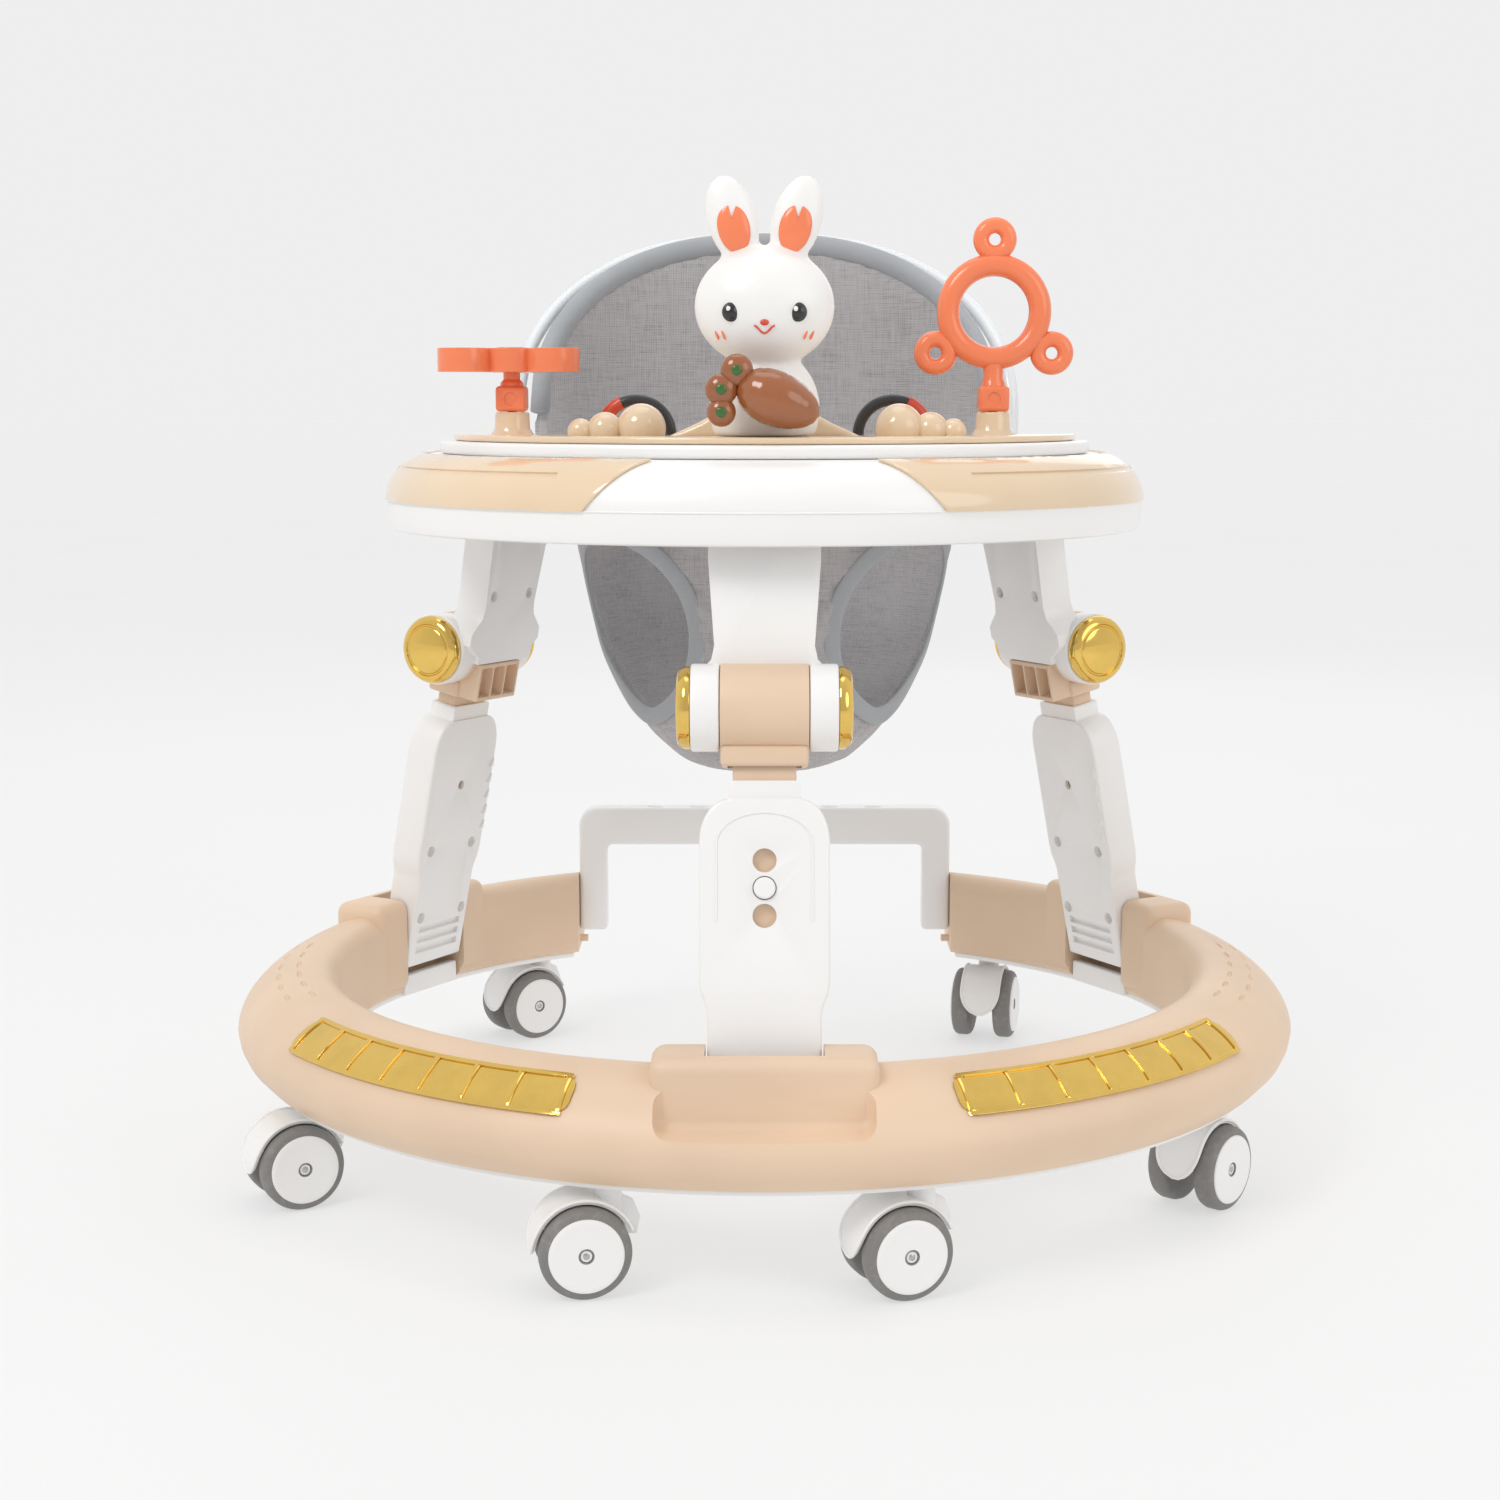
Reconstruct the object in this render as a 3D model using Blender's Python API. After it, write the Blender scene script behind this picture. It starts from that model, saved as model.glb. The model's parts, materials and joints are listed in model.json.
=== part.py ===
"""Baby walker: a round rolling base, three folding legs of adjustable height, and a toy tray with a seat.

Units are metres. +Z is up, the floor is z = 0, and the toys are on the -Y side. The origin is on the
floor under the middle of the walker's box. Pieces that move have their origin, or the empty that
carries them, on the axis they move about.
"""
import math

import bmesh
import bpy
from mathutils import Matrix

MM = 0.001

# ---- clearances -------------------------------------------------------------------------------
GAP = 0.3 * MM              # between pieces that rest on each other
RUN = 0.35 * MM             # round a shaft or a sliding piece
EAR_GAP = 1.0 * MM          # beside a bracket between its ears
OPEN_HIP_GAP = 14 * MM      # beside the side brackets, whose hip pivots are left open

# ---- casters ----------------------------------------------------------------------------------
WHEEL_RADIUS = 26 * MM
WHEEL_WIDTH = 14 * MM
WHEEL_OFFSET = 16 * MM      # from the caster's mid plane to the wheel's
TREAD_WIDTH = 4 * MM        # flat part of a wheel's tread
CASTER_TRAIL = 15 * MM
AXLE_RADIUS = 3.2 * MM
HOOD_GAP = 1.6 * MM
HOOD_THICK = 2.2 * MM
HOOD_HALF_WIDTH = 14.5 * MM
WEB_HALF = 4.5 * MM
STEM_RADIUS = 4 * MM
STEM_BOSS_RADIUS = 8 * MM
STEM_INSERT = 18 * MM       # stem inside the base
CASTER_TOP = 2 * WHEEL_RADIUS + HOOD_GAP + HOOD_THICK
# azimuth from the front, and the way each caster trails
CASTERS = {
    "front_left": (-16.1, 191),
    "front_right": (16.1, 200),
    "side_left": (-62.1, 209),
    "side_right": (62.1, 229),
    "rear_left": (-146, 217),
    "rear_right": (146, 255),
}

# ---- base ring --------------------------------------------------------------------------------
WALL = 3 * MM
PLATE_THICK = 4 * MM
PLATE_CLEAR = 6.2 * MM      # between the casters' tops and the under plate
RING_RADIUS = 350 * MM
RING_WIDTH = 65 * MM
RING_BOTTOM = CASTER_TOP + PLATE_CLEAR + PLATE_THICK
RING_TOP = RING_BOTTOM + 60 * MM
RING_WIDEST = RING_BOTTOM + 22 * MM     # height of the ring's widest line
RING_TUCK = 12 * MM         # how far the skirt tucks in under the widest line
RING_SHOULDER = 15 * MM     # round of the inner top edge
RING_INNER = RING_RADIUS - RING_WIDTH
ARM_END_X = 145 * MM        # the ring stops here on both sides of the rear opening
ARM_STEPS = 15              # steps of the ring from its front to the end of an arm
CASTER_RING = 34 * MM       # stems, in from the ring's edge
RING_REAR = math.sqrt(RING_RADIUS ** 2 - ARM_END_X ** 2)
CENTRE_Y = (RING_RADIUS - RING_REAR) / 2

# ---- knee, and the tube that slides in the leg ------------------------------------------------
TUBE_HALF_WIDTH = 18 * MM
TUBE_HALF_DEPTH = 8 * MM
TUBE_WALL = 2.1 * MM        # of the leg's neck, before and behind the tube
LEG_NECK_HALF = TUBE_HALF_WIDTH + 2.5 * MM
FLANGE_HALF = LEG_NECK_HALF + 4.4 * MM
FLANGE_DEPTH = 13 * MM
FLANGE_DROP = 34 * MM       # flange underside, below the knee axis
FLANGE_THICK = 10 * MM
FLANGE_CUP = 8.5 * MM       # depth of its underside, which comes down over the neck
BARREL_RADIUS = 25 * MM
BARREL_HALF = FLANGE_HALF + GAP
KNEE_PIN_RADIUS = 6 * MM
KNUCKLE_IN = BARREL_HALF + RUN
KNUCKLE_OUT = KNUCKLE_IN + 16.4 * MM
CAP_RADIUS = 23.8 * MM
CAP_DEPTH = 8 * MM
BRACKET_OFFSET = 17 * MM    # bracket's mid plane, inboard of the knee axis
BRACKET_DEPTH = 12 * MM     # half of its thickness
BRACKET_LOW_HALF = BARREL_HALF + 2.8 * MM
BRACKET_TOP_HALF = BARREL_HALF + 7.2 * MM
BRACKET_END = 9 * MM        # bracket beyond the hip axis
BRACKET_STOP = 5 * MM       # how far below the knee axis the bracket's inner edge comes to rest
STOP_REACH = BRACKET_OFFSET + BRACKET_DEPTH
STOP_GAP = 1.0 * MM
HIP_RADIUS = 4.5 * MM
HIP_REACH = 3.6 * MM        # hip trunnion beyond the bracket's side

# ---- lower legs -------------------------------------------------------------------------------
FOOT_INSET = 60 * MM        # foot hinge, in from the ring's edge
FOOT_RADIUS = RING_RADIUS - FOOT_INSET
FOOT_HEIGHT = RING_BOTTOM + 34 * MM
KNEE_HEIGHT = FOOT_HEIGHT + 220 * MM
TRAY_BOTTOM = KNEE_HEIGHT + 91 * MM
TRAY_DECK = TRAY_BOTTOM + 48 * MM
TRAY_RADIUS = 246 * MM
HIP_AXIS_RADIUS = TRAY_RADIUS - 43 * MM
HIP_HEIGHT = TRAY_DECK - 31 * MM
LEG_ACROSS = FOOT_RADIUS - HIP_AXIS_RADIUS
LEG_RISE = HIP_HEIGHT - FOOT_HEIGHT
LEG_LENGTH = math.sqrt(LEG_ACROSS ** 2 + LEG_RISE ** 2 - BRACKET_OFFSET ** 2)
LEAN = math.atan2(LEG_ACROSS, LEG_RISE) - math.atan2(BRACKET_OFFSET, LEG_LENGTH)
LOWER_LENGTH = (KNEE_HEIGHT - FOOT_HEIGHT) / math.cos(LEAN)
UPPER_LENGTH = LEG_LENGTH - LOWER_LENGTH
LEG_AZIMUTHS = {"front": 0, "right": 120, "left": -120}
LEG_FOOT_HALF = LEG_NECK_HALF + 11.5 * MM
LEG_HALF_WIDTH = LEG_NECK_HALF + 16.25 * MM
LEG_FRONT = TUBE_HALF_DEPTH + 5.5 * MM      # shell in front of the leg's mid plane
LEG_BACK = TUBE_HALF_DEPTH + 3.5 * MM
LEG_HEEL = 14 * MM          # shell below the foot hinge
NECK_END = LOWER_LENGTH - FLANGE_DROP - 8 * MM
NECK_START = NECK_END - 10.5 * MM
BULGE_END = NECK_START - 24.5 * MM
BULGE_START = 52 * MM       # along the leg from the foot hinge
BUTTON_AT = NECK_END - 60.5 * MM
BUTTON_PITCH = 15.5 * MM
BUTTON_RADIUS = 6.2 * MM
BUTTON_PROUD = 3 * MM
BUTTON_LENGTH = 11.5 * MM
BUTTON_TRAVEL = 4 * MM
HEIGHT_HOLE_RADIUS = 6.75 * MM
REAR_HOLE_RADIUS = 3.4 * MM
TUBE_START = BUTTON_AT - 37.5 * MM
BORE_START = TUBE_START - BUTTON_PITCH - 3.5 * MM
TRUNNION_RADIUS = 5 * MM
TRUNNION_REACH = 10 * MM    # into each cheek of the pocket

# ---- leg pockets ------------------------------------------------------------------------------
POCKET_HALF = LEG_FOOT_HALF + 1.3 * MM
COLLAR_HALF_WIDTH = POCKET_HALF + 30.2 * MM
COLLAR_TOP = RING_BOTTOM + 69 * MM
COLLAR_OUTER = 28 * MM      # from the ring's edge in to the collar's outer face
COLLAR_INNER = 71 * MM      # from the ring's edge in to the collar's inner face
POCKET_OUTER = 39 * MM      # from the ring's edge in to the pocket's outer wall
COLLAR_ROUND = 6 * MM
LIP_TOP = RING_BOTTOM + 12 * MM         # white lip of the under plate in each leg pocket

# ---- rear bar ---------------------------------------------------------------------------------
BAR_TOP = RING_BOTTOM + 112 * MM
BAR_UNDERSIDE = RING_BOTTOM + 83 * MM
BAR_FOOT = RING_BOTTOM + 15 * MM
BAR_LEG = 21.5 * MM
BAR_DEPTH = 20 * MM
BAR_ROUND = 14 * MM
BAR_PIVOT = RING_BOTTOM + 26 * MM
BAR_PIN_RADIUS = 5 * MM
BAR_PIN_REACH = 8 * MM
BAR_Y = RING_REAR - 50 * MM
TAB_HALF = 2.5 * MM
TAB_HEIGHT = RING_BOTTOM + 7 * MM
TAB_LENGTH = 20 * MM
TAB_INSIDE = 14 * MM        # of it inside the arm

# ---- gold strips on the ring ------------------------------------------------------------------
STRIP_FROM = 18.5           # degrees from the front
STRIP_TO = 57
STRIP_SPAN = (0.30, 0.68)   # where they lie on the ring's crown, from its top to its widest line
STRIP_THICK = 1.5 * MM
STRIP_GAP = 0.8 * MM        # under the strip, where its own curve is finer than the crown's

# ---- tray -------------------------------------------------------------------------------------
TRAY_BAND = 19 * MM         # height of the upright white band
TRAY_SLOPE = 32 * MM        # how far the slope comes in
EAR_THICK = 4 * MM
PANEL_THICK = 1.5 * MM
PANEL_FROM = 17             # degrees from the front, at the panel's top edge
PANEL_SLANT = 8             # degrees that its lower edge stops short by
PANEL_TO = 112
HOLE_FRONT = 184 * MM - TRAY_RADIUS     # the seat hole's front and rear, and its half width
HOLE_REAR = TRAY_RADIUS - 84 * MM
HOLE_HALF_WIDTH = TRAY_RADIUS - 113 * MM
HOLE_HALF_DEPTH = (HOLE_REAR - HOLE_FRONT) / 2
HOLE_Y = (HOLE_REAR + HOLE_FRONT) / 2
HOLE_LIP = 10 * MM

# ---- toy tray, laid out from the front edge of the tray ---------------------------------------
TOY_RIM_INSET = 34 * MM     # from the tray's edge
TOY_RIM_THICK = 8 * MM
TOY_PLATE_INSET = 43 * MM
TOY_PLATE_THICK = 4 * MM
TOY_REAR_Y = 220 * MM - TRAY_RADIUS
TOY_RIM_BOTTOM = TRAY_DECK + GAP
TOY_PLATE_BOTTOM = TOY_RIM_BOTTOM + TOY_RIM_THICK + GAP
TOY_PLATE_TOP = TOY_PLATE_BOTTOM + TOY_PLATE_THICK
TOY_POST_Y = 160 * MM - TRAY_RADIUS
SPINNER_X = 89 * MM - TRAY_RADIUS
RING_TOY_X = TRAY_RADIUS - 104 * MM
HILL_Y = 126 * MM - TRAY_RADIUS
HILLS = ((-114, 8), (-98, 13), (-76, 18), (84, 18), (106, 12))      # x and radius, in millimetres
HILL_SUNK = 0.85            # share of a hill's radius that is below the plate
RIDGE_FOOT = 62 * MM
RIDGE_CREST = 24 * MM
RIDGE_HEIGHT = 17 * MM
RIDGE_HALF_DEPTH = 10 * MM
RIDGE_Y = 124 * MM - TRAY_RADIUS
POST_RADIUS = 11 * MM
POST_HEIGHT = 14 * MM
POST_PIN_RADIUS = 3 * MM
POST_PIN_HEIGHT = 12 * MM
BLOCK_HALF = 9.5 * MM
BLOCK_HEIGHT = 16 * MM
SPINNER_REACH = 48 * MM
SPINNER_LOBE = 16 * MM
SPINNER_THICK = 14 * MM
SPINNER_NECK = 14 * MM
RING_TOY_RADIUS = 28.5 * MM
RING_TOY_TUBE = 7 * MM
SMALL_RING_RADIUS = 8.5 * MM
SMALL_RING_TUBE = 5 * MM
RING_TOY_NECK = 12 * MM
ARCH_X = 80 * MM
ARCH_Y = 164 * MM - TRAY_RADIUS
ARCH_RADIUS = 19 * MM
ARCH_TUBE = 4 * MM
BUNNY_Y = 89 * MM - TRAY_RADIUS
HEAD_HALF = (42 * MM, 30 * MM, 36 * MM)
HEAD_UP = 76 * MM
BODY_HALF = (30 * MM, 19 * MM, 42 * MM)
EAR_HALF = (15 * MM, 8 * MM, 27 * MM)
EAR_SPREAD = 19 * MM
EAR_UP = 126 * MM
EAR_TILT = 16
CARROT_X = 6 * MM
CARROT_Y = 53 * MM - TRAY_RADIUS
CARROT_HALF = (25 * MM, 14.5 * MM, 17 * MM)
CARROT_UP = 21.5 * MM
CARROT_TILT = 14
LEAF_HALF = (9 * MM, 7 * MM, 9 * MM)
LEAVES = ((-24, 18), (-33, 7), (-33, -6))       # x and height from the root's middle, in millimetres

# ---- seat -------------------------------------------------------------------------------------
BACK_RADIUS = HOLE_HALF_WIDTH + 27 * MM
BACK_Y = HOLE_Y - 5 * MM
BACK_THICK = 14 * MM
BACK_HEIGHT = 148 * MM
BACK_SWEEP = 76             # degrees to each side of the rear
BACK_EXPONENT = 2.3
BACK_END = 25 * MM          # height of the backrest at its two ends
HOOP_OFFSET = 16 * MM
HOOP_RADIUS = 5 * MM
HOOP_RISE = 3 * MM
SLING_CLEAR = 4 * MM
SLING_THICK = 3 * MM
SLING_DEPTH = 205 * MM      # from the deck down to the sling's bottom
SLING_LEVELS = ((0.0, 1.0), (0.33, 0.97), (0.66, 0.86), (0.82, 0.71), (0.93, 0.56), (1.0, 0.38))
SLING_SHIFT = 22 * MM       # how far forward its bottom lies
LEG_HOLE_RADIUS = 38 * MM
LEG_HOLE_X = HOLE_HALF_WIDTH - 47 * MM
LEG_HOLE_DROP = 98 * MM


# ---- mesh helpers -----------------------------------------------------------------------------
def mesh_of(points, faces):
    """A closed mesh with its faces pointing out."""
    mesh = bpy.data.meshes.new("shape")
    bm = bmesh.new()
    verts = [bm.verts.new(p) for p in points]
    for face in faces:
        bm.faces.new([verts[i] for i in face])
    bmesh.ops.recalc_face_normals(bm, faces=bm.faces)
    bm.to_mesh(mesh)
    bm.free()
    return mesh


def box(low, high):
    """A box between two corners."""
    points = [(x, y, z) for x in (low[0], high[0]) for y in (low[1], high[1]) for z in (low[2], high[2])]
    faces = [(0, 1, 3, 2), (4, 6, 7, 5), (0, 4, 5, 1), (2, 3, 7, 6), (0, 2, 6, 4), (1, 5, 7, 3)]
    return mesh_of(points, faces)


def prism(outline, low, high, axis):
    """An outline pushed from low to high along an axis: Y takes (x, z) points, Z takes (x, y)."""
    n = len(outline)
    ends = []
    for level in (low, high):
        for a, b in outline:
            ends.append((a, level, b) if axis == "Y" else (a, b, level))
    sides = [(i, (i + 1) % n, n + (i + 1) % n, n + i) for i in range(n)]
    return mesh_of(ends, sides + [tuple(range(n)), tuple(range(n, 2 * n))])


def ellipse(half_x, half_y, centre_y, steps):
    """Points round an ellipse in the XY plane."""
    turn = 2 * math.pi / steps
    return [(half_x * math.cos(turn * i), centre_y + half_y * math.sin(turn * i)) for i in range(steps)]


def rod(axis, radius, low, high, steps=20, centre=(0, 0, 0)):
    """A cylinder along X, Y or Z."""
    bm = bmesh.new()
    bmesh.ops.create_cone(bm, cap_ends=True, segments=steps, radius1=radius, radius2=radius,
                          depth=high - low)
    turn = {"X": Matrix.Rotation(math.pi / 2, 4, "Y"), "Y": Matrix.Rotation(-math.pi / 2, 4, "X"),
            "Z": Matrix.Identity(4)}[axis]
    middle = Matrix.Translation((0, 0, (low + high) / 2))
    bmesh.ops.transform(bm, matrix=Matrix.Translation(centre) @ turn @ middle, verts=bm.verts)
    mesh = bpy.data.meshes.new("rod")
    bm.to_mesh(mesh)
    bm.free()
    return mesh


def ball(half, centre, tilt=0.0, steps=14):
    """An ellipsoid, tilted about Y."""
    bm = bmesh.new()
    bmesh.ops.create_uvsphere(bm, u_segments=steps, v_segments=steps // 2 + 1, radius=1)
    grow = Matrix.Diagonal((*half, 1))
    turn = Matrix.Rotation(math.radians(tilt), 4, "Y")
    bmesh.ops.transform(bm, matrix=Matrix.Translation(centre) @ turn @ grow, verts=bm.verts)
    mesh = bpy.data.meshes.new("ball")
    bm.to_mesh(mesh)
    bm.free()
    return mesh


def swept(section, starts, ends, steps, closed=False):
    """A closed (radius, height) section carried round Z, from one azimuth to another.

    Azimuths are degrees from the front, and may differ from point to point of the section.
    """
    n = len(section)
    points = []
    for i in range(steps if closed else steps + 1):
        for j, (radius, height) in enumerate(section):
            angle = math.radians(starts[j] + (ends[j] - starts[j]) * i / steps)
            points.append((radius * math.sin(angle), -radius * math.cos(angle), height))
    faces = []
    for i in range(steps):
        k = (i + 1) % steps if closed else i + 1
        faces += [(i * n + j, i * n + (j + 1) % n, k * n + (j + 1) % n, k * n + j) for j in range(n)]
    if not closed:
        faces += [tuple(range(n)), tuple(range(steps * n, (steps + 1) * n))]
    return mesh_of(points, faces)


def turned(profile, steps):
    """A profile of (radius, height) points that starts and ends on the Z axis, turned about it."""
    bottom, top = profile[0], profile[-1]
    rim = profile[1:-1]
    n = len(rim)
    points = [(0, 0, bottom[1]), (0, 0, top[1])]
    for i in range(steps):
        angle = 2 * math.pi * i / steps
        points += [(r * math.cos(angle), r * math.sin(angle), z) for r, z in rim]
    faces = []
    for i in range(steps):
        a, b = 2 + i * n, 2 + ((i + 1) % steps) * n
        faces += [(a + j, b + j, b + j + 1, a + j + 1) for j in range(n - 1)]
        faces += [(0, b, a), (1, a + n - 1, b + n - 1)]
    return mesh_of(points, faces)


def torus(axis, radius, tube, centre=(0, 0, 0), start=0.0, end=360.0, steps=20, sides=8):
    """A ring, or part of one, whose axis is Y or Z."""
    closed = end - start >= 360
    section = [(radius + tube * math.cos(2 * math.pi * j / sides), tube * math.sin(2 * math.pi * j / sides))
               for j in range(sides)]
    mesh = swept(section, [start] * sides, [end] * sides, steps, closed)
    turn = Matrix.Rotation(-math.pi / 2, 4, "X") if axis == "Y" else Matrix.Identity(4)
    mesh.transform(Matrix.Translation(centre) @ turn)
    return mesh


def after(mesh, kind, **settings):
    """The mesh as it is with one modifier on it."""
    holder = bpy.data.objects.new("holder", mesh)
    bpy.context.scene.collection.objects.link(holder)
    modifier = holder.modifiers.new(kind, kind)
    for key, value in settings.items():
        setattr(modifier, key, value)
    graph = bpy.context.evaluated_depsgraph_get()
    result = bpy.data.meshes.new_from_object(holder.evaluated_get(graph))
    bpy.data.objects.remove(holder)
    return result


def combined(body, tools, operation):
    """The body with tools joined to it or cut from it."""
    for tool in tools:
        other = bpy.data.objects.new("tool", tool)
        bpy.context.scene.collection.objects.link(other)
        body = after(body, "BOOLEAN", object=other, operation=operation, solver="EXACT")
        bpy.data.objects.remove(other)
    return body


def joined(body, *tools):
    return combined(body, tools, "UNION")


def cut(body, *tools):
    return combined(body, tools, "DIFFERENCE")


def softened(mesh, width, segments=2):
    """Round every sharp edge."""
    return after(mesh, "BEVEL", width=width, segments=segments, limit_method="ANGLE",
                 angle_limit=math.radians(35), use_clamp_overlap=True)


def mirrored(mesh):
    """A mirror image across the YZ plane."""
    copy = mesh.copy()
    copy.transform(Matrix.Scale(-1, 4, (1, 0, 0)))
    copy.flip_normals()
    return copy


def mirrored_y(mesh):
    """A mirror image across the XZ plane."""
    copy = mesh.copy()
    copy.transform(Matrix.Scale(-1, 4, (0, 1, 0)))
    copy.flip_normals()
    return copy


# ---- materials and placing --------------------------------------------------------------------
def finish(name, colour, roughness, metallic=0.0):
    material = bpy.data.materials.new(name)
    material.use_nodes = True
    shader = material.node_tree.nodes["Principled BSDF"]
    shader.inputs["Base Color"].default_value = (*colour, 1)
    shader.inputs["Roughness"].default_value = roughness
    shader.inputs["Metallic"].default_value = metallic
    return material


def pivot(name, parent=None, at=(0, 0, 0), turn=(0, 0, 0)):
    """An empty that carries the pieces that move together."""
    empty = bpy.data.objects.new(name, None)
    bpy.context.scene.collection.objects.link(empty)
    empty.parent = parent
    empty.location = at
    empty.rotation_euler = turn
    return empty


def place(name, mesh, material, parent, at=(0, 0, 0), turn=(0, 0, 0)):
    """A finished piece, smooth where it is round."""
    mesh = mesh.copy()
    mesh.name = name
    mesh.materials.clear()
    mesh.materials.append(material)
    mesh.shade_smooth()
    mesh.set_sharp_from_angle(angle=math.radians(35))
    piece = bpy.data.objects.new(name, mesh)
    bpy.context.scene.collection.objects.link(piece)
    piece.parent = parent
    piece.location = at
    piece.rotation_euler = turn
    return piece


# ---- base -------------------------------------------------------------------------------------
def crown_point(share, inset):
    """A point on the ring's crown, from its top (share 0) to its widest line (share 1)."""
    across = RING_WIDTH - RING_SHOULDER - inset
    rise = RING_TOP - RING_WIDEST - inset
    angle = math.pi / 2 * (1 - share)
    power = 2 / 1.75
    radius = RING_INNER + RING_SHOULDER + across * math.cos(angle) ** power
    return radius, RING_WIDEST + rise * math.sin(angle) ** power


def ring_section(inset, floor, steps):
    """The base ring's section, inset by a wall and open down to the floor given."""
    points = [(RING_INNER + inset, floor)]
    turn = RING_SHOULDER - inset
    for i in range(3):
        angle = math.pi / 2 * i / 3
        points.append((RING_INNER + RING_SHOULDER - turn * math.cos(angle),
                       RING_TOP - RING_SHOULDER + turn * math.sin(angle)))
    points += [crown_point(i / steps, inset) for i in range(steps + 1)]
    points.append((RING_RADIUS - inset - RING_TUCK / 3, (RING_WIDEST + RING_BOTTOM) / 2))
    points.append((RING_RADIUS - inset - RING_TUCK, floor))
    return points


def ring_part(section, end_x):
    """A section carried round the ring, stopping at end_x on both sides of the rear opening.

    One of its steps falls beside the outer corner of the arm, so that the ring reaches RING_REAR there.
    """
    count = len(section)
    corner = 180 - math.degrees(math.asin((ARM_END_X + GAP) / RING_RADIUS))
    last = corner * (ARM_STEPS + 1) / ARM_STEPS
    whole = swept(section, [-last] * count, [last] * count, 2 * (ARM_STEPS + 1))
    low, high = 0.1 * RING_RADIUS, 1.3 * RING_RADIUS
    return cut(whole, box((-end_x, low, -high), (end_x, high, high)))


def at_leg(mesh, azimuth):
    """A shape made for the front leg, turned to another leg's place."""
    copy = mesh.copy()
    copy.transform(Matrix.Rotation(math.radians(azimuth), 4, "Z"))
    return copy


def caster_spot(azimuth):
    angle = math.radians(azimuth)
    radius = RING_RADIUS - CASTER_RING
    return radius * math.sin(angle), -radius * math.cos(angle)


def make_base_shell():
    shell = ring_part(ring_section(0, RING_BOTTOM, 5), ARM_END_X)
    hollow = ring_part(ring_section(WALL, RING_BOTTOM - WALL, 3), ARM_END_X + WALL)
    shell = cut(shell, hollow)
    collar = box((-COLLAR_HALF_WIDTH, COLLAR_OUTER - RING_RADIUS, RING_BOTTOM + GAP),
                 (COLLAR_HALF_WIDTH, COLLAR_INNER - RING_RADIUS, COLLAR_TOP))
    collar = softened(collar, COLLAR_ROUND, 1)
    pocket = box((-POCKET_HALF, POCKET_OUTER - RING_RADIUS, 0),
                 (POCKET_HALF, COLLAR_INNER - RING_RADIUS + COLLAR_TOP, 2 * COLLAR_TOP))
    reach = POCKET_HALF + TRUNNION_REACH + GAP
    socket = rod("X", TRUNNION_RADIUS + RUN, -reach, reach, 12, (0, -FOOT_RADIUS, FOOT_HEIGHT))
    for azimuth in LEG_AZIMUTHS.values():
        shell = joined(shell, at_leg(collar, azimuth))
        shell = cut(shell, at_leg(pocket, azimuth), at_leg(socket, azimuth))
    reach = ARM_END_X + WALL + BAR_PIN_REACH
    bar_holes = rod("X", BAR_PIN_RADIUS + RUN, -reach, reach, 12, (0, BAR_Y, BAR_PIVOT))
    half = TAB_HALF + RUN
    tab_holes = box((-reach, BAR_Y - half, TAB_HEIGHT - half), (reach, BAR_Y + half, TAB_HEIGHT + half))
    return cut(shell, bar_holes, tab_holes)


def make_under_plate():
    low, high = RING_BOTTOM - PLATE_THICK, RING_BOTTOM
    inner = RING_INNER + WALL + GAP
    outer = RING_RADIUS - RING_TUCK - WALL - GAP
    plate = ring_part([(inner, low), (inner, high), (outer, high), (outer, low)], ARM_END_X + WALL + GAP)
    side = POCKET_HALF - 2 * MM
    lip = box((-side, -inner - 3 * MM, low + GAP), (side, -inner + 4 * MM, LIP_TOP))
    for azimuth in LEG_AZIMUTHS.values():
        plate = joined(plate, at_leg(lip, azimuth))
    for azimuth, _ in CASTERS.values():
        x, y = caster_spot(azimuth)
        top = low + STEM_INSERT + WALL
        plate = joined(plate, rod("Z", STEM_BOSS_RADIUS, low + GAP, top, 10, (x, y, 0)))
        plate = cut(plate, rod("Z", STEM_RADIUS + RUN, low - WALL, low + STEM_INSERT + GAP, 8, (x, y, 0)))
    return plate


def make_gold_strip():
    """A thin plated strip that lies on the crown, from the top of its span to the bottom."""
    shares = [STRIP_SPAN[0] + (STRIP_SPAN[1] - STRIP_SPAN[0]) * i / 4 for i in range(5)]
    under = [crown_point(share, -STRIP_GAP) for share in shares]
    over = [crown_point(share, -STRIP_GAP - STRIP_THICK) for share in reversed(shares)]
    count = len(under + over)
    return swept(under + over, [STRIP_FROM] * count, [STRIP_TO] * count, 12)


def make_rear_bar():
    """An upside-down U with pins at its feet."""
    wide = ARM_END_X - GAP
    narrow = wide - BAR_LEG
    outline = [(-wide, BAR_FOOT)]
    for sign, start in ((-1, 180), (1, 90)):
        for i in range(4):
            angle = math.radians(start - 30 * i)
            outline.append((sign * (wide - BAR_ROUND) + BAR_ROUND * math.cos(angle),
                            BAR_TOP - BAR_ROUND + BAR_ROUND * math.sin(angle)))
    outline += [(wide, BAR_FOOT), (narrow, BAR_FOOT), (narrow, BAR_UNDERSIDE), (-narrow, BAR_UNDERSIDE),
                (-narrow, BAR_FOOT)]
    bar = softened(prism(outline, -BAR_DEPTH / 2, BAR_DEPTH / 2, "Y"), 3 * MM, 1)
    pin = rod("X", BAR_PIN_RADIUS, wide - BAR_LEG / 2, wide + BAR_PIN_REACH, 12, (0, 0, BAR_PIVOT))
    bar = joined(bar, pin, mirrored(pin))
    bar.transform(Matrix.Translation((0, 0, -BAR_PIVOT)))
    return bar


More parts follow.
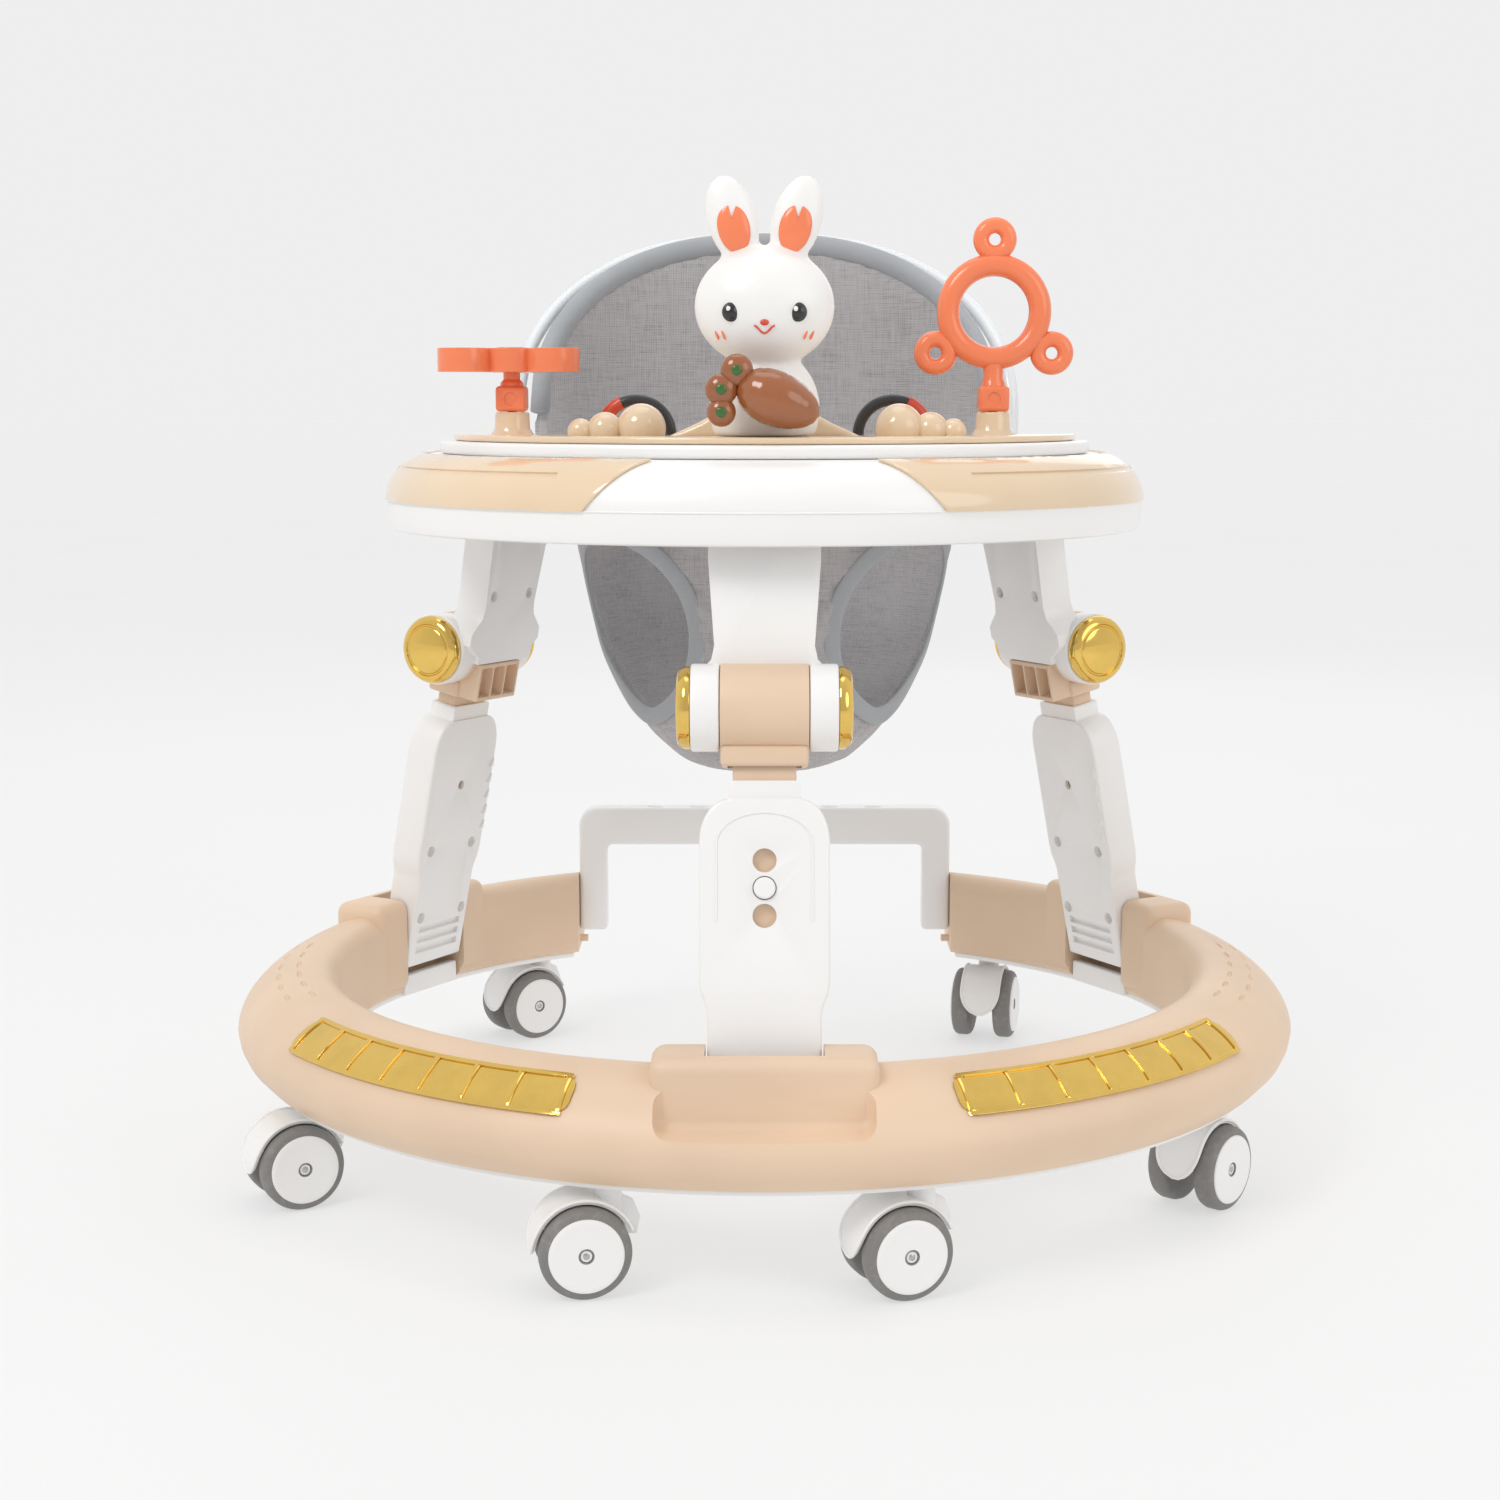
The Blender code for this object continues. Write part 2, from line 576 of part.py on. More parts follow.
# ---- caster -----------------------------------------------------------------------------------
def make_caster_housing():
    """Hood, web, axle and stem. Origin on the floor under the stem, and the wheels trail along +X."""
    inner = WHEEL_RADIUS + HOOD_GAP
    outer = inner + HOOD_THICK
    steps = 7
    first, last = math.radians(20), math.radians(186)
    angles = [first + (last - first) * i / steps for i in range(steps + 1)]
    arc = [(-outer * math.cos(a), outer * math.sin(a)) for a in angles]
    arc += [(-inner * math.cos(a), inner * math.sin(a)) for a in reversed(angles)]
    hood = prism(arc, -HOOD_HALF_WIDTH, HOOD_HALF_WIDTH, "Y")
    fin = [(0, -AXLE_RADIUS * 2)] + [(-(inner + GAP) * math.cos(a), (inner + GAP) * math.sin(a))
                                     for a in angles[:-2]]
    web = prism(fin, -WEB_HALF, WEB_HALF, "Y")
    axle_end = WHEEL_OFFSET + WHEEL_WIDTH / 2 - GAP
    housing = joined(hood, web, rod("Y", AXLE_RADIUS * 2, -WEB_HALF - WALL, WEB_HALF + WALL, 10),
                     rod("Y", AXLE_RADIUS, -axle_end, axle_end, 8))
    housing.transform(Matrix.Translation((CASTER_TRAIL, 0, WHEEL_RADIUS)))
    top = RING_BOTTOM - PLATE_THICK - GAP
    boss = rod("Z", STEM_BOSS_RADIUS, WHEEL_RADIUS, top, 12)
    stem = rod("Z", STEM_RADIUS, top - WALL, RING_BOTTOM - PLATE_THICK + STEM_INSERT, 8)
    return joined(housing, boss, stem)


def make_wheel():
    """Tyre and hub, turned about Z and laid over so that the axle runs along Y."""
    half = WHEEL_WIDTH / 2
    bore = AXLE_RADIUS + RUN
    disc = WHEEL_RADIUS - 4.4 * MM
    tread = TREAD_WIDTH / 2
    section = [(bore, -half), (disc, -half), (WHEEL_RADIUS, -tread), (WHEEL_RADIUS, tread), (disc, half),
               (bore, half)]
    count = len(section)
    wheel = swept(section, [0] * count, [360] * count, 16, closed=True)
    wheel.transform(Matrix.Rotation(-math.pi / 2, 4, "X"))
    return wheel


# ---- leg --------------------------------------------------------------------------------------
def along(length, mesh):
    """Move a shape along the leg from the foot hinge."""
    mesh.transform(Matrix.Translation((0, 0, length)))
    return mesh


def make_lower_leg():
    """The white shell. Origin on the foot hinge, and the leg runs up +Z with its face to -Y."""
    side = [(LEG_FOOT_HALF, -LEG_HEEL), (LEG_FOOT_HALF, BULGE_START),
            (LEG_HALF_WIDTH - 1 * MM, BULGE_START + 10 * MM), (LEG_HALF_WIDTH, BULGE_START + 18 * MM)]
    drop, step = NECK_START - BULGE_END, LEG_HALF_WIDTH - LEG_NECK_HALF
    for i in range(5):
        angle = math.pi / 2 * i / 4
        side.append((LEG_NECK_HALF + step * math.cos(angle), BULGE_END + drop * math.sin(angle)))
    side.append((LEG_NECK_HALF, NECK_END))
    outline = side + [(-x, z) for x, z in reversed(side)]
    shell = softened(prism(outline, -LEG_FRONT, LEG_BACK, "Y"), 2.5 * MM, 1)
    end = POCKET_HALF + TRUNNION_REACH
    shell = joined(shell, rod("X", TRUNNION_RADIUS, -end, end, 12))
    bore = box((-TUBE_HALF_WIDTH - RUN, -TUBE_HALF_DEPTH - RUN, BORE_START),
               (TUBE_HALF_WIDTH + RUN, TUBE_HALF_DEPTH + RUN, NECK_END + WALL))
    holes = [bore, along(BUTTON_AT, rod("Y", BUTTON_RADIUS + RUN, -2 * LEG_FRONT, 0, 12)),
             along(BUTTON_AT, rod("Y", REAR_HOLE_RADIUS, WALL, 2 * LEG_BACK, 10))]
    for sign in (-1, 1):
        hole = rod("Y", HEIGHT_HOLE_RADIUS, -2 * LEG_FRONT, 0, 12)
        holes.append(along(BUTTON_AT + sign * BUTTON_PITCH, hole))
    neck = TUBE_HALF_DEPTH + TUBE_WALL
    low, high = NECK_END - FLANGE_CUP, NECK_END + WALL
    holes.append(box((-LEG_HALF_WIDTH, -2 * LEG_FRONT, low), (LEG_HALF_WIDTH, -neck, high)))
    holes.append(box((-LEG_HALF_WIDTH, neck, low), (LEG_HALF_WIDTH, 2 * LEG_BACK, high)))
    return cut(shell, *holes)


def make_height_tube():
    """The tan sliding tube with the knee barrel. Origin on the knee axis, and the tube runs down -Z."""
    flange_low = -FLANGE_DROP
    tube = box((-TUBE_HALF_WIDTH, -TUBE_HALF_DEPTH, TUBE_START - LOWER_LENGTH),
               (TUBE_HALF_WIDTH, TUBE_HALF_DEPTH, flange_low + FLANGE_THICK))
    flange = box((-FLANGE_HALF, -FLANGE_DEPTH, flange_low),
                 (FLANGE_HALF, FLANGE_DEPTH, flange_low + FLANGE_THICK + BARREL_RADIUS / 2))
    stop_high = -BRACKET_STOP - STOP_GAP
    stop = box((-FLANGE_HALF + 2 * MM, BARREL_RADIUS / 3, flange_low + 1 * MM),
               (FLANGE_HALF - 2 * MM, STOP_REACH, stop_high))
    barrel = rod("X", BARREL_RADIUS, -BARREL_HALF, BARREL_HALF, 20)
    cup_half = LEG_NECK_HALF + RUN
    cup_depth = TUBE_HALF_DEPTH + TUBE_WALL + RUN
    cup = box((-cup_half, -cup_depth, flange_low - WALL), (cup_half, cup_depth, flange_low + FLANGE_CUP))
    body = cut(joined(barrel, softened(flange, 1.5 * MM, 1), stop), cup)
    body = joined(body, tube)
    clear = (FLANGE_HALF - 2 * MM) * 2 - 4 * 2 * MM
    width = clear / 3
    pockets = []
    for i in range(3):
        left = -FLANGE_HALF + 4 * MM + i * (width + 2 * MM)
        pockets.append(box((left, STOP_REACH - 9 * MM, flange_low + 3 * MM),
                           (left + width, STOP_REACH + WALL, stop_high - 2 * MM)))
    slot_reach = BUTTON_PITCH + BUTTON_RADIUS + 1.2 * MM
    centre = BUTTON_AT - LOWER_LENGTH
    side = BUTTON_RADIUS + 0.8 * MM
    slot = box((-side, -2 * TUBE_HALF_DEPTH, centre - slot_reach),
               (side, BUTTON_LENGTH + BUTTON_TRAVEL - BUTTON_PROUD - LEG_FRONT + GAP, centre + slot_reach))
    pin_hole = rod("X", KNEE_PIN_RADIUS + RUN, -2 * BARREL_HALF, 2 * BARREL_HALF, 12)
    return cut(body, *pockets, slot, pin_hole)


def make_button():
    """A lock button. Origin on its own axis at the shell's mid plane."""
    return rod("Y", BUTTON_RADIUS, -LEG_FRONT - BUTTON_PROUD, BUTTON_LENGTH - LEG_FRONT - BUTTON_PROUD, 12)


def make_bracket():
    """The white upper leg, inboard of the knee barrel. Origin on the knee axis, and it runs up +Z."""
    high = UPPER_LENGTH + BRACKET_END
    shoulder = BARREL_RADIUS + 4 * MM
    side = [(BRACKET_LOW_HALF, -BRACKET_STOP), (BRACKET_LOW_HALF, 0), (KNUCKLE_OUT - 1.5 * MM, 8 * MM),
            (KNUCKLE_OUT - 1.5 * MM, BARREL_RADIUS * 0.7), (BRACKET_LOW_HALF, shoulder),
            (BRACKET_TOP_HALF, shoulder + 0.6 * (high - shoulder)), (BRACKET_TOP_HALF, high - 6 * MM),
            (BRACKET_TOP_HALF - 6 * MM, high)]
    outline = side + [(-x, z) for x, z in reversed(side)]
    web = prism(outline, BRACKET_OFFSET - BRACKET_DEPTH, BRACKET_OFFSET + BRACKET_DEPTH, "Y")
    # the knuckles start a little too far in, and the cut for the barrel trims them with the web
    knuckle = rod("X", BARREL_RADIUS, KNUCKLE_IN - 1 * MM, KNUCKLE_OUT, 20)
    reach = BRACKET_TOP_HALF + HIP_REACH
    hip = rod("X", HIP_RADIUS, -reach, reach, 10, (0, BRACKET_OFFSET, UPPER_LENGTH))
    bracket = joined(softened(web, 1.5 * MM, 1), knuckle, mirrored(knuckle), hip)
    bracket = cut(bracket, rod("X", BARREL_RADIUS + RUN, -KNUCKLE_IN, KNUCKLE_IN, 20))
    return cut(bracket, rod("X", KNEE_PIN_RADIUS + RUN, -2 * KNUCKLE_OUT, 2 * KNUCKLE_OUT, 12))


def make_cap():
    """A domed gold cap with a ring groove, turned about +X and set outside the knuckle."""
    rim, groove = CAP_RADIUS, CAP_RADIUS * 0.72
    profile = [(0, 0), (rim, 0), (rim, CAP_DEPTH * 0.35), (rim - 2 * MM, CAP_DEPTH * 0.8),
               (groove, CAP_DEPTH), (0, CAP_DEPTH)]
    cap = turned(profile, 16)
    cap.transform(Matrix.Translation((KNUCKLE_OUT + GAP, 0, 0)) @ Matrix.Rotation(math.pi / 2, 4, "Y"))
    return cap


# ---- tray -------------------------------------------------------------------------------------
def tray_slope(offset, steps=3):
    """The tray's slope from the top of its white band up to the deck, moved out by an offset."""
    low = TRAY_BOTTOM + TRAY_BAND
    rise = TRAY_DECK - low
    points = []
    for i in range(steps + 1):
        angle = math.pi / 2 * i / steps
        points.append((TRAY_RADIUS - TRAY_SLOPE + (TRAY_SLOPE + offset) * math.cos(angle),
                       low + (rise + offset) * math.sin(angle)))
    return points


def tray_profile(inset, floor):
    side = [(0, floor), (TRAY_RADIUS - inset - 2 * MM, floor)]
    if not inset:
        side.append((TRAY_RADIUS, floor + 3 * MM))
    side += tray_slope(-inset)
    return side + [(0, TRAY_DECK - inset)]


def seat_hole(grow):
    return ellipse(HOLE_HALF_WIDTH + grow, HOLE_HALF_DEPTH + grow, HOLE_Y, 32)


def make_tray():
    shell = turned(tray_profile(0, TRAY_BOTTOM), 40)
    shell = cut(shell, turned(tray_profile(WALL, TRAY_BOTTOM - WALL), 40))
    within = turned(tray_profile(WALL / 2, TRAY_BOTTOM), 40)
    low = TRAY_DECK - WALL - HOLE_LIP
    shell = joined(shell, prism(seat_hole(WALL), low, TRAY_DECK - WALL / 2, "Z"))
    shell = cut(shell, prism(seat_hole(0), low - WALL, TRAY_DECK + WALL, "Z"))
    for name, azimuth in LEG_AZIMUTHS.items():
        inside = BRACKET_TOP_HALF + (EAR_GAP if name == "front" else OPEN_HIP_GAP)
        reach = HIP_RADIUS + 5 * MM
        ear = box((inside, -HIP_AXIS_RADIUS - reach, HIP_HEIGHT - reach),
                  (inside + EAR_THICK, -HIP_AXIS_RADIUS + reach, TRAY_DECK))
        ear = combined(ear, [within], "INTERSECT")
        out = inside + EAR_THICK + 2 * MM
        hole = rod("X", HIP_RADIUS + RUN, -out, out, 10, (0, -HIP_AXIS_RADIUS, HIP_HEIGHT))
        shell = joined(shell, at_leg(ear, azimuth), at_leg(mirrored(ear), azimuth))
        shell = cut(shell, at_leg(hole, azimuth))
    return shell


def make_tray_panel():
    """A glossy panel on the tray's slope, with a slanted front end."""
    under = tray_slope(GAP)[:-1]
    over = tray_slope(GAP + PANEL_THICK)[:-1]
    section = under + over[::-1]
    last = len(under) - 1
    shares = [1 - i / last for i in range(len(under))]
    starts = [PANEL_FROM + PANEL_SLANT * share for share in shares + shares[::-1]]
    return swept(section, starts, [PANEL_TO] * len(section), 20)


def crescent(inset, hole_grow):
    """Outline of the toy tray: round in front, straight at the rear, clear of the seat hole."""
    radius = TRAY_RADIUS - inset
    rear = TOY_REAR_Y
    turn = math.degrees(math.acos(-rear / radius))
    outline = []
    for i in range(33):
        angle = math.radians(-turn + 2 * turn * i / 32)
        outline.append((radius * math.sin(angle), -radius * math.cos(angle)))
    half_x, half_y = HOLE_HALF_WIDTH + hole_grow, HOLE_HALF_DEPTH + hole_grow
    inner = math.asin((HOLE_Y - rear) / half_y)
    for i in range(17):
        angle = -inner - (math.pi - 2 * inner) * i / 16
        outline.append((half_x * math.cos(angle), HOLE_Y + half_y * math.sin(angle)))
    return outline


def make_toy_plate():
    """The tan plate with its hills, its ridge and the posts that the toys turn on."""
    plate = prism(crescent(TOY_PLATE_INSET, 8 * MM), TOY_PLATE_BOTTOM, TOY_PLATE_TOP, "Z")
    low = TOY_PLATE_BOTTOM + GAP
    for x, size in HILLS:
        radius = size * MM
        centre = (x * MM, HILL_Y, TOY_PLATE_TOP + radius * (1 - HILL_SUNK))
        below = box((-1, -1, -1), (1, 1, low))
        plate = joined(plate, cut(ball((radius,) * 3, centre, steps=8), below))
    crest = TOY_PLATE_TOP + RIDGE_HEIGHT
    ridge = [(-RIDGE_FOOT, low), (RIDGE_FOOT, low), (RIDGE_CREST, crest), (-RIDGE_CREST, crest)]
    plate = joined(plate, prism(ridge, RIDGE_Y - RIDGE_HALF_DEPTH, RIDGE_Y + RIDGE_HALF_DEPTH, "Y"))
    for x in (SPINNER_X, RING_TOY_X):
        top = TOY_PLATE_TOP + POST_HEIGHT
        plate = joined(plate, rod("Z", POST_RADIUS, low, top, 16, (x, TOY_POST_Y, 0)),
                       rod("Z", POST_PIN_RADIUS, top - WALL, top + POST_PIN_HEIGHT, 10, (x, TOY_POST_Y, 0)))
    return plate


def toy_block():
    """The square block that a toy stands on, with a bore for the post's pin."""
    low = GAP
    block = softened(box((-BLOCK_HALF, -BLOCK_HALF, low), (BLOCK_HALF, BLOCK_HALF, BLOCK_HEIGHT)), 2 * MM)
    return block, rod("Z", POST_PIN_RADIUS + RUN, -WALL, POST_PIN_HEIGHT + 1 * MM, 10)


def make_spinner():
    """A three-lobed spinner on a short neck. Origin on its axis at the top of the post."""
    block, bore = toy_block()
    low = BLOCK_HEIGHT + SPINNER_NECK - 4 * MM
    neck = rod("Z", 5.5 * MM, BLOCK_HEIGHT - WALL, low + WALL, 12)
    hub = SPINNER_REACH - 2 * SPINNER_LOBE + 6 * MM
    body = joined(block, neck, rod("Z", hub, low, low + SPINNER_THICK, 14))
    for i in range(3):
        angle = math.radians(90 + 120 * i)
        spot = SPINNER_REACH - SPINNER_LOBE
        centre = (spot * math.cos(angle), spot * math.sin(angle), 0)
        body = joined(body, rod("Z", SPINNER_LOBE, low + 1 * MM, low + SPINNER_THICK - 1 * MM, 14, centre))
    return cut(body, bore)


def make_ring_toy():
    """An upright ring with three small rings. Origin on its axis at the top of the post."""
    block, bore = toy_block()
    centre = BLOCK_HEIGHT + RING_TOY_NECK + RING_TOY_RADIUS + RING_TOY_TUBE - 2 * MM
    neck = rod("Z", 7 * MM, BLOCK_HEIGHT - WALL, BLOCK_HEIGHT + RING_TOY_NECK + WALL, 12)
    body = joined(block, neck, torus("Y", RING_TOY_RADIUS, RING_TOY_TUBE, (0, 0, centre), steps=16, sides=6))
    reach = RING_TOY_RADIUS + RING_TOY_TUBE + SMALL_RING_RADIUS
    for turn in (90, 215, -35):
        angle = math.radians(turn)
        spot = (reach * math.cos(angle), 0, centre + reach * math.sin(angle))
        body = joined(body, torus("Y", SMALL_RING_RADIUS, SMALL_RING_TUBE, spot, steps=10, sides=5))
    return cut(body, bore)


def make_arch():
    """A half ring that stands on the toy plate. Origin at the middle of its feet."""
    arch = torus("Y", ARCH_RADIUS, ARCH_TUBE, start=-92, end=92, steps=8, sides=6)
    arch.transform(Matrix.Translation((0, 0, GAP)))
    return cut(arch, box((-1, -1, -1), (1, 1, GAP)))


def make_bunny():
    """Body, head and two ears. Origin on the toy plate."""
    body = ball(BODY_HALF, (0, 0, 4 * MM), steps=10)
    body = joined(body, ball(HEAD_HALF, (0, 0, HEAD_UP), steps=12))
    for sign in (-1, 1):
        body = joined(body, ball(EAR_HALF, (sign * EAR_SPREAD, 0, EAR_UP), tilt=sign * EAR_TILT, steps=8))
    return cut(body, box((-1, -1, -1), (1, 1, GAP)))


def make_carrot():
    """A fat carrot with three round leaves. Origin at the root's middle."""
    root = ball(CARROT_HALF, (0, 0, 0), tilt=CARROT_TILT, steps=10)
    for x, z in LEAVES:
        root = joined(root, ball(LEAF_HALF, (x * MM, 0, z * MM), steps=8))
    return root


# ---- seat -------------------------------------------------------------------------------------
def back_height(turn):
    """How much of the backrest's full rise it has at a turn from the rear."""
    share = min(1.0, abs(math.sin(math.radians(turn)) / math.sin(math.radians(BACK_SWEEP))))
    return (1 - share ** BACK_EXPONENT) ** (1 / BACK_EXPONENT)


def make_seat_back():
    """A padded panel that curves round the rear of the seat hole."""
    steps, rows = 18, 3
    low = TRAY_DECK + 2 * MM
    points = []
    for i in range(steps + 1):
        turn = -BACK_SWEEP + 2 * BACK_SWEEP * i / steps
        top = low + BACK_END + (BACK_HEIGHT - BACK_END - 2 * MM) * back_height(turn)
        for side in (-0.5, 0.5):
            radius = BACK_RADIUS + side * BACK_THICK
            x, y = radius * math.sin(math.radians(turn)), BACK_Y + radius * math.cos(math.radians(turn))
            points += [(x, y, low + (top - low) * j / rows) for j in range(rows + 1)]
    n = rows + 1
    faces = []
    for i in range(steps):
        a, b = i * 2 * n, (i + 1) * 2 * n
        for j in range(rows):
            c, d = a + n + j, b + n + j
            faces += [(a + j, b + j, b + j + 1, a + j + 1), (c, c + 1, d + 1, d)]
        faces += [(a, a + n, b + n, b), (a + rows, b + rows, b + n + rows, a + n + rows)]
    for a in (0, steps * 2 * n):
        faces.append(tuple(a + j for j in range(n)) + tuple(a + n + rows - j for j in range(n)))
    return mesh_of(points, faces)


def make_hoop():
    """The backrest's hoop: a round tube that stands on the deck behind the padded panel."""
    radius = BACK_RADIUS + HOOP_OFFSET
    foot = TRAY_DECK + GAP
    curve = bpy.data.curves.new("hoop", "CURVE")
    curve.dimensions = "3D"
    curve.bevel_depth = HOOP_RADIUS
    curve.bevel_resolution = 1
    curve.render_resolution_u = 0
    curve.use_fill_caps = True
    spline = curve.splines.new("POLY")
    steps = 18
    path = []
    for i in range(steps + 1):
        turn = BACK_SWEEP * math.sin(math.radians(-90 + 180 * i / steps))
        rise = BACK_END + (BACK_HEIGHT - BACK_END + HOOP_RISE) * back_height(turn)
        angle = math.radians(turn)
        path.append((radius * math.sin(angle), BACK_Y + radius * math.cos(angle), foot + rise))
    path = [(path[0][0], path[0][1], foot)] + path + [(path[-1][0], path[-1][1], foot)]
    spline.points.add(len(path) - 1)
    for point, at in zip(spline.points, path):
        point.co = (*at, 1)
    holder = bpy.data.objects.new("hoop_path", curve)
    bpy.context.scene.collection.objects.link(holder)
    graph = bpy.context.evaluated_depsgraph_get()
    mesh = bpy.data.meshes.new_from_object(holder.evaluated_get(graph))
    bpy.data.objects.remove(holder)
    return after(mesh, "WELD", merge_threshold=0.01 * MM)


def sling_skin(inset):
    """Outline of the seat sling at each level: (half width, half depth, middle Y, height)."""
    half_x, half_y = HOLE_HALF_WIDTH - SLING_CLEAR, HOLE_HALF_DEPTH - SLING_CLEAR
    top = TRAY_DECK - 2 * MM
    skin = []
    for depth, share in SLING_LEVELS:
        drop = min(depth * SLING_DEPTH, SLING_DEPTH - inset)
        middle = HOLE_Y - SLING_SHIFT * depth
        skin.append((half_x * share - inset, half_y * share - inset, middle, top - drop))
    return skin


def make_sling():
    """A cloth seat with two leg holes, open at the top."""
    steps = 20
    outer = [[(x, y, z) for x, y in ellipse(a, b, mid, steps)] for a, b, mid, z in sling_skin(0)]
    inner = [[(x, y, z) for x, y in ellipse(a, b, mid, steps)] for a, b, mid, z in sling_skin(SLING_THICK)]
    rings = outer[::-1] + inner
    points = [point for ring in rings for point in ring]
    faces = []
    for r in range(len(rings) - 1):
        for i in range(steps):
            k = (i + 1) % steps
            faces.append((r * steps + i, r * steps + k, (r + 1) * steps + k, (r + 1) * steps + i))
    last = (len(rings) - 1) * steps
    faces += [tuple(range(steps)), tuple(range(last, last + steps))]
    sling = mesh_of(points, faces)
    for sign in (-1, 1):
        centre = (sign * LEG_HOLE_X, 0, TRAY_DECK - LEG_HOLE_DROP)
        sling = cut(sling, rod("Y", LEG_HOLE_RADIUS, -TRAY_RADIUS, HOLE_Y - 20 * MM, 16, centre))
    return sling


# ---- build ------------------------------------------------------------------------------------
def build():
    for old in list(bpy.data.objects):
        bpy.data.objects.remove(old)

    peach = finish("peach_plastic", (0.71, 0.47, 0.29), 0.42)
    gloss_peach = finish("gloss_peach_plastic", (0.76, 0.54, 0.34), 0.16)
    white = finish("white_plastic", (0.86, 0.85, 0.83), 0.25)
    gold = finish("gold_plating", (0.83, 0.55, 0.17), 0.12, 1.0)
    tyre = finish("grey_rubber", (0.13, 0.12, 0.115), 0.6)
    steel = finish("steel", (0.55, 0.55, 0.56), 0.3, 1.0)
    orange = finish("orange_plastic", (0.86, 0.22, 0.08), 0.3)
    brown = finish("brown_plastic", (0.2, 0.065, 0.022), 0.15)
    dark = finish("dark_plastic", (0.03, 0.03, 0.03), 0.3)
    fabric = finish("grey_fabric", (0.27, 0.25, 0.25), 0.9)
    hoop = finish("clear_white_plastic", (0.8, 0.82, 0.83), 0.3)

    walker = pivot("walker", at=(0, CENTRE_Y, 0))

    place("base_shell", make_base_shell(), peach, walker)
    place("base_under_plate", make_under_plate(), white, walker)
    strip = make_gold_strip()
    place("gold_strip_right", strip, gold, walker)
    place("gold_strip_left", mirrored(strip), gold, walker)
    place("rear_bar", make_rear_bar(), white, walker, (0, BAR_Y, BAR_PIVOT))
    tab = box((TAB_INSIDE - TAB_LENGTH, -TAB_HALF, -TAB_HALF), (TAB_INSIDE, TAB_HALF, TAB_HALF))
    place("lock_tab_right", tab, peach, walker, (ARM_END_X, BAR_Y, TAB_HEIGHT))
    place("lock_tab_left", mirrored(tab), peach, walker, (-ARM_END_X, BAR_Y, TAB_HEIGHT))

    housing, wheel = make_caster_housing(), make_wheel()
    for spot, (azimuth, trail) in CASTERS.items():
        x, y = caster_spot(azimuth)
        swivel = pivot(f"caster_{spot}", walker, (x, y, 0), (0, 0, math.radians(trail)))
        place(f"caster_{spot}_housing", housing, white, swivel)
        for side, sign in (("left", -1), ("right", 1)):
            mesh = wheel if sign > 0 else mirrored_y(wheel)
            place(f"caster_{spot}_wheel_{side}", mesh, tyre, swivel,
                  (CASTER_TRAIL, sign * WHEEL_OFFSET, WHEEL_RADIUS))

    lower, tube, button, bracket = make_lower_leg(), make_height_tube(), make_button(), make_bracket()
    knee_pin = rod("X", KNEE_PIN_RADIUS, -KNUCKLE_OUT + GAP, KNUCKLE_OUT - GAP, 12)
    cap = make_cap()
    for name, azimuth in LEG_AZIMUTHS.items():
        side = pivot(f"leg_{name}", walker, turn=(0, 0, math.radians(azimuth)))
        foot = pivot(f"foot_{name}", side, (0, -FOOT_RADIUS, FOOT_HEIGHT), (-LEAN, 0, 0))
        knee = pivot(f"knee_{name}", foot, (0, 0, LOWER_LENGTH))
        place(f"lower_leg_{name}", lower, white, foot)
        place(f"height_button_{name}", button, white, foot, (0, 0, BUTTON_AT))
        place(f"height_tube_{name}", tube, peach, knee)
        place(f"knee_pin_{name}", knee_pin, steel, knee)
        place(f"upper_bracket_{name}", bracket, white, knee)
        place(f"knee_cap_{name}_right", cap, gold, knee)
        place(f"knee_cap_{name}_left", mirrored(cap), gold, knee)

    place("tray", make_tray(), white, walker)
    panel = make_tray_panel()
    place("tray_panel_right", panel, gloss_peach, walker)
    place("tray_panel_left", mirrored(panel), gloss_peach, walker)
    rim = prism(crescent(TOY_RIM_INSET, 14 * MM), TOY_RIM_BOTTOM, TOY_RIM_BOTTOM + TOY_RIM_THICK, "Z")
    place("toy_tray_rim", rim, white, walker)
    place("toy_plate", make_toy_plate(), gloss_peach, walker)
    post_top = TOY_PLATE_TOP + POST_HEIGHT
    place("spinner", make_spinner(), orange, walker, (SPINNER_X, TOY_POST_Y, post_top))
    place("ring_toy", make_ring_toy(), orange, walker, (RING_TOY_X, TOY_POST_Y, post_top))
    arch = make_arch()
    for side, sign in (("left", -1), ("right", 1)):
        place(f"arch_{side}", arch, dark, walker, (sign * ARCH_X, ARCH_Y, TOY_PLATE_TOP))
    place("bunny", make_bunny(), white, walker, (0, BUNNY_Y, TOY_PLATE_TOP))
    place("carrot", make_carrot(), brown, walker, (CARROT_X, CARROT_Y, TOY_PLATE_TOP + CARROT_UP))
    place("backrest_hoop", make_hoop(), hoop, walker)
    place("seat_back", make_seat_back(), fabric, walker)
    place("seat_sling", make_sling(), fabric, walker)


build()
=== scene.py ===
# %% [markdown]
# # Baby walker, rebuilt over its CAD frame
#
# The CAD model gives every place and every joint. This script puts a finely made piece over each CAD
# node, in the same place, and lets it ride on the same body. The cells go from the floor up: base,
# casters, legs, tray, toys and seat.

# %% Load the frame
import json
import math

import bmesh
import bpy
from mathutils import Matrix, Vector


